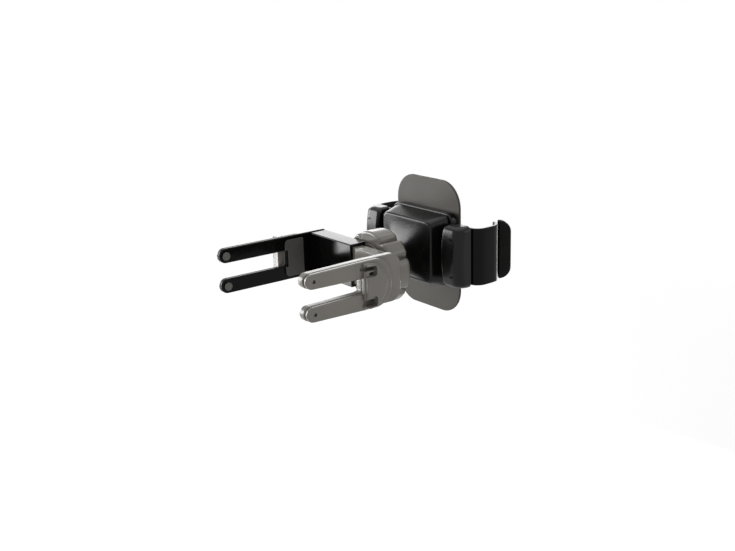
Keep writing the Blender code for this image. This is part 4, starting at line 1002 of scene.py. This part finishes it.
# ---------------------------------------------------------------- studio

# The pale floor's distance under the holder, its half width, and where it starts and ends to fade to white
FLOOR_DROP, FLOOR_HALF = 0.16, 6.0
FADE_START, FADE_END = 0.15, 0.75

# Soft lights in metres: where each stands, what it faces and its width and height
AIM = (-0.02, 0.02, 0.0)
SOFTBOXES = (("top", (-0.15, 0.10, 0.75), AIM, (0.9, 0.9)),
             ("back", (-0.85, 0.66, 0.22), AIM, (0.8, 0.32)),
             ("side", (0.75, 0.55, 0.35), AIM, (0.6, 0.6)),
             ("low", (-0.267, -0.153, -0.075), (-0.02, 0.03, 0.0), (0.05, 0.05)),
             ("key", (-0.77, -0.35, 0.12), AIM, (0.56, 0.42)),
             ("rim", (-0.020, 0.351, -0.080), (0.013, 0.066, 0.003), (0.10, 0.10)))


def softbox(name, spot, aim, size, radiance):
    """A soft rectangular lamp that the camera doesn't see."""
    lamp = bpy.data.lights.new(name, "AREA")
    lamp.shape = "RECTANGLE"
    lamp.size, lamp.size_y = size
    lamp.energy = radiance * math.pi * size[0] * size[1]
    item = bpy.data.objects.new(name, lamp)
    bpy.context.scene.collection.objects.link(item)
    item.location = spot
    item.rotation_euler = (Vector(aim) - Vector(spot)).to_track_quat("-Z", "Y").to_euler()
    item.visible_camera = False


def white_where_seen(tree, spot):
    """One for what the camera, a reflection or a clear piece sees, and zero for light on the holder."""
    path = add_node(tree, "ShaderNodeLightPath", spot)
    first = add_node(tree, "ShaderNodeMath", (spot[0] + 150, spot[1]), operation="MAXIMUM")
    both = add_node(tree, "ShaderNodeMath", (spot[0] + 300, spot[1]), operation="MAXIMUM")
    tree.links.new(path.outputs["Is Camera Ray"], first.inputs[0])
    tree.links.new(path.outputs["Is Glossy Ray"], first.inputs[1])
    tree.links.new(first.outputs["Value"], both.inputs[0])
    tree.links.new(path.outputs["Is Transmission Ray"], both.inputs[1])
    return both.outputs["Value"]


def mixed(tree, share, first, second, output):
    """Show the first shader where share is zero and the second where it is one."""
    both = add_node(tree, "ShaderNodeMixShader", (300, 100))
    tree.links.new(share, both.inputs["Fac"])
    tree.links.new(first, both.inputs[1])
    tree.links.new(second, both.inputs[2])
    tree.links.new(both.outputs["Shader"], tree.nodes[output].inputs["Surface"])


def pale_floor():
    """A wide floor that keeps the holder's shadow and fades to white further out."""
    bm = bmesh.new()
    bmesh.ops.create_grid(bm, x_segments=2, y_segments=2, size=FLOOR_HALF)
    floor = as_object("studio_floor", bm, Matrix.Translation((0, 0, PACKED_BOX[0][2] - FLOOR_DROP)))
    pale = bpy.data.materials.new("pale_floor")
    pale.use_nodes = True
    tree = pale.node_tree
    shader = tree.nodes["Principled BSDF"]
    shader.inputs["Base Color"].default_value = (0.90, 0.90, 0.90, 1.0)
    shader.inputs["Roughness"].default_value = 0.9
    shader.inputs["Specular IOR Level"].default_value = 0.1
    where = add_node(tree, "ShaderNodeTexCoord", (-900, 200))
    reach = add_node(tree, "ShaderNodeVectorMath", (-700, 200), operation="LENGTH")
    tree.links.new(where.outputs["Object"], reach.inputs[0])
    fade = add_node(tree, "ShaderNodeMapRange", (-500, 200), {"From Min": FADE_START, "From Max": FADE_END})
    tree.links.new(reach.outputs["Value"], fade.inputs["Value"])
    share = add_node(tree, "ShaderNodeMath", (-250, 300), operation="MULTIPLY")
    tree.links.new(fade.outputs["Result"], share.inputs[0])
    tree.links.new(white_where_seen(tree, (-500, 500)), share.inputs[1])
    glow = add_node(tree, "ShaderNodeEmission", (0, -400), {"Strength": 1.0})
    mixed(tree, share.outputs["Value"], shader.outputs["BSDF"], glow.outputs["Emission"], "Material Output")
    floor.data.materials.append(pale)


def even_world(scene, strength):
    """An even light all round, and white where it is seen."""
    world = bpy.data.worlds.new("studio_world")
    scene.world = world
    world.use_nodes = True
    tree = world.node_tree
    light = tree.nodes["Background"]
    light.inputs["Color"].default_value = (1.0, 1.0, 1.0, 1.0)
    light.inputs["Strength"].default_value = strength
    white = add_node(tree, "ShaderNodeBackground", (0, -200), {"Color": (1.0, 1.0, 1.0, 1.0), "Strength": 1.0})
    mixed(tree, white_where_seen(tree, (-300, 300)), light.outputs["Background"], white.outputs["Background"],
          "World Output")


def photo_camera(scene, settings):
    """A camera that looks at its target from the photograph's direction."""
    camera = bpy.data.cameras.new("photo_camera")
    camera.lens = settings.lens
    camera.sensor_width = 36.0
    camera.clip_start, camera.clip_end = 0.01, 20.0
    item = bpy.data.objects.new("photo_camera", camera)
    scene.collection.objects.link(item)
    a, e, roll = (math.radians(v) for v in (settings.azimuth, settings.elevation, settings.roll))
    back = Vector((math.sin(a) * math.cos(e), -math.cos(a) * math.cos(e), math.sin(e)))
    right = Vector((math.cos(a), math.sin(a), 0))
    up = back.cross(right)
    right, up = (right * math.cos(roll) + up * math.sin(roll), up * math.cos(roll) - right * math.sin(roll))
    item.matrix_world = Matrix.Translation(Vector(settings.target) + back * settings.distance) @ Matrix(
        (right, up, back)).transposed().to_4x4()
    scene.camera = item


class HOLDER_OT_studio(bpy.types.Operator):
    """Pale floor, soft lights and the camera"""

    bl_idname = "holder.studio"
    bl_label = "Studio"

    def execute(self, context):
        settings = context.scene.holder_studio
        pale_floor()
        even_world(context.scene, settings.world_light)
        for name, spot, aim, size in SOFTBOXES:
            softbox(f"{name}_softbox", spot, aim, size, getattr(settings, f"{name}_light"))
        photo_camera(context.scene, settings)
        context.scene.view_settings.view_transform = "Standard"
        return {"FINISHED"}


# The operators in the order that the holder is made in
STEPS = ("studio", "clip_body", "sliding_jaw", "fork_covers", "fork_grips", "clamp_nut", "ball_joint", "housing",
         "mechanism", "back_plate", "arms", "arm_covers", "arm_rubbers")


class HOLDER_PT_pieces(bpy.types.Panel):
    """The holder's pieces, sizes and colours"""

    bl_label = "Vent Phone Holder"
    bl_idname = "HOLDER_PT_pieces"
    bl_space_type = "VIEW_3D"
    bl_region_type = "UI"
    bl_category = "Holder"

    def draw(self, context):
        scene = context.scene
        for step in STEPS:
            self.layout.operator(f"holder.{step}")
        for group in (scene.holder_forks, scene.holder_joint, scene.holder_cradle, scene.holder_colours,
                      scene.holder_studio):
            box = self.layout.box()
            for name in group.__annotations__:
                box.prop(group, name)


GROUPS = {"holder_forks": ForkSizes, "holder_joint": JointSizes, "holder_cradle": CradleSizes,
          "holder_colours": HolderColours, "holder_studio": StudioSettings}
CLASSES = (*GROUPS.values(), HOLDER_OT_studio, HOLDER_OT_clip_body, HOLDER_OT_sliding_jaw, HOLDER_OT_fork_covers,
           HOLDER_OT_fork_grips, HOLDER_OT_clamp_nut, HOLDER_OT_ball_joint, HOLDER_OT_housing,
           HOLDER_OT_mechanism, HOLDER_OT_back_plate, HOLDER_OT_arms, HOLDER_OT_arm_covers,
           HOLDER_OT_arm_rubbers, HOLDER_PT_pieces)


def register():
    for item in CLASSES:
        bpy.utils.register_class(item)
    for name, group in GROUPS.items():
        setattr(bpy.types.Scene, name, PointerProperty(type=group))


def unregister():
    for name in GROUPS:
        delattr(bpy.types.Scene, name)
    for item in reversed(CLASSES):
        bpy.utils.unregister_class(item)


def main():
    register()
    for step in STEPS:
        getattr(bpy.ops.holder, step)()


if __name__ == "__main__":
    main()
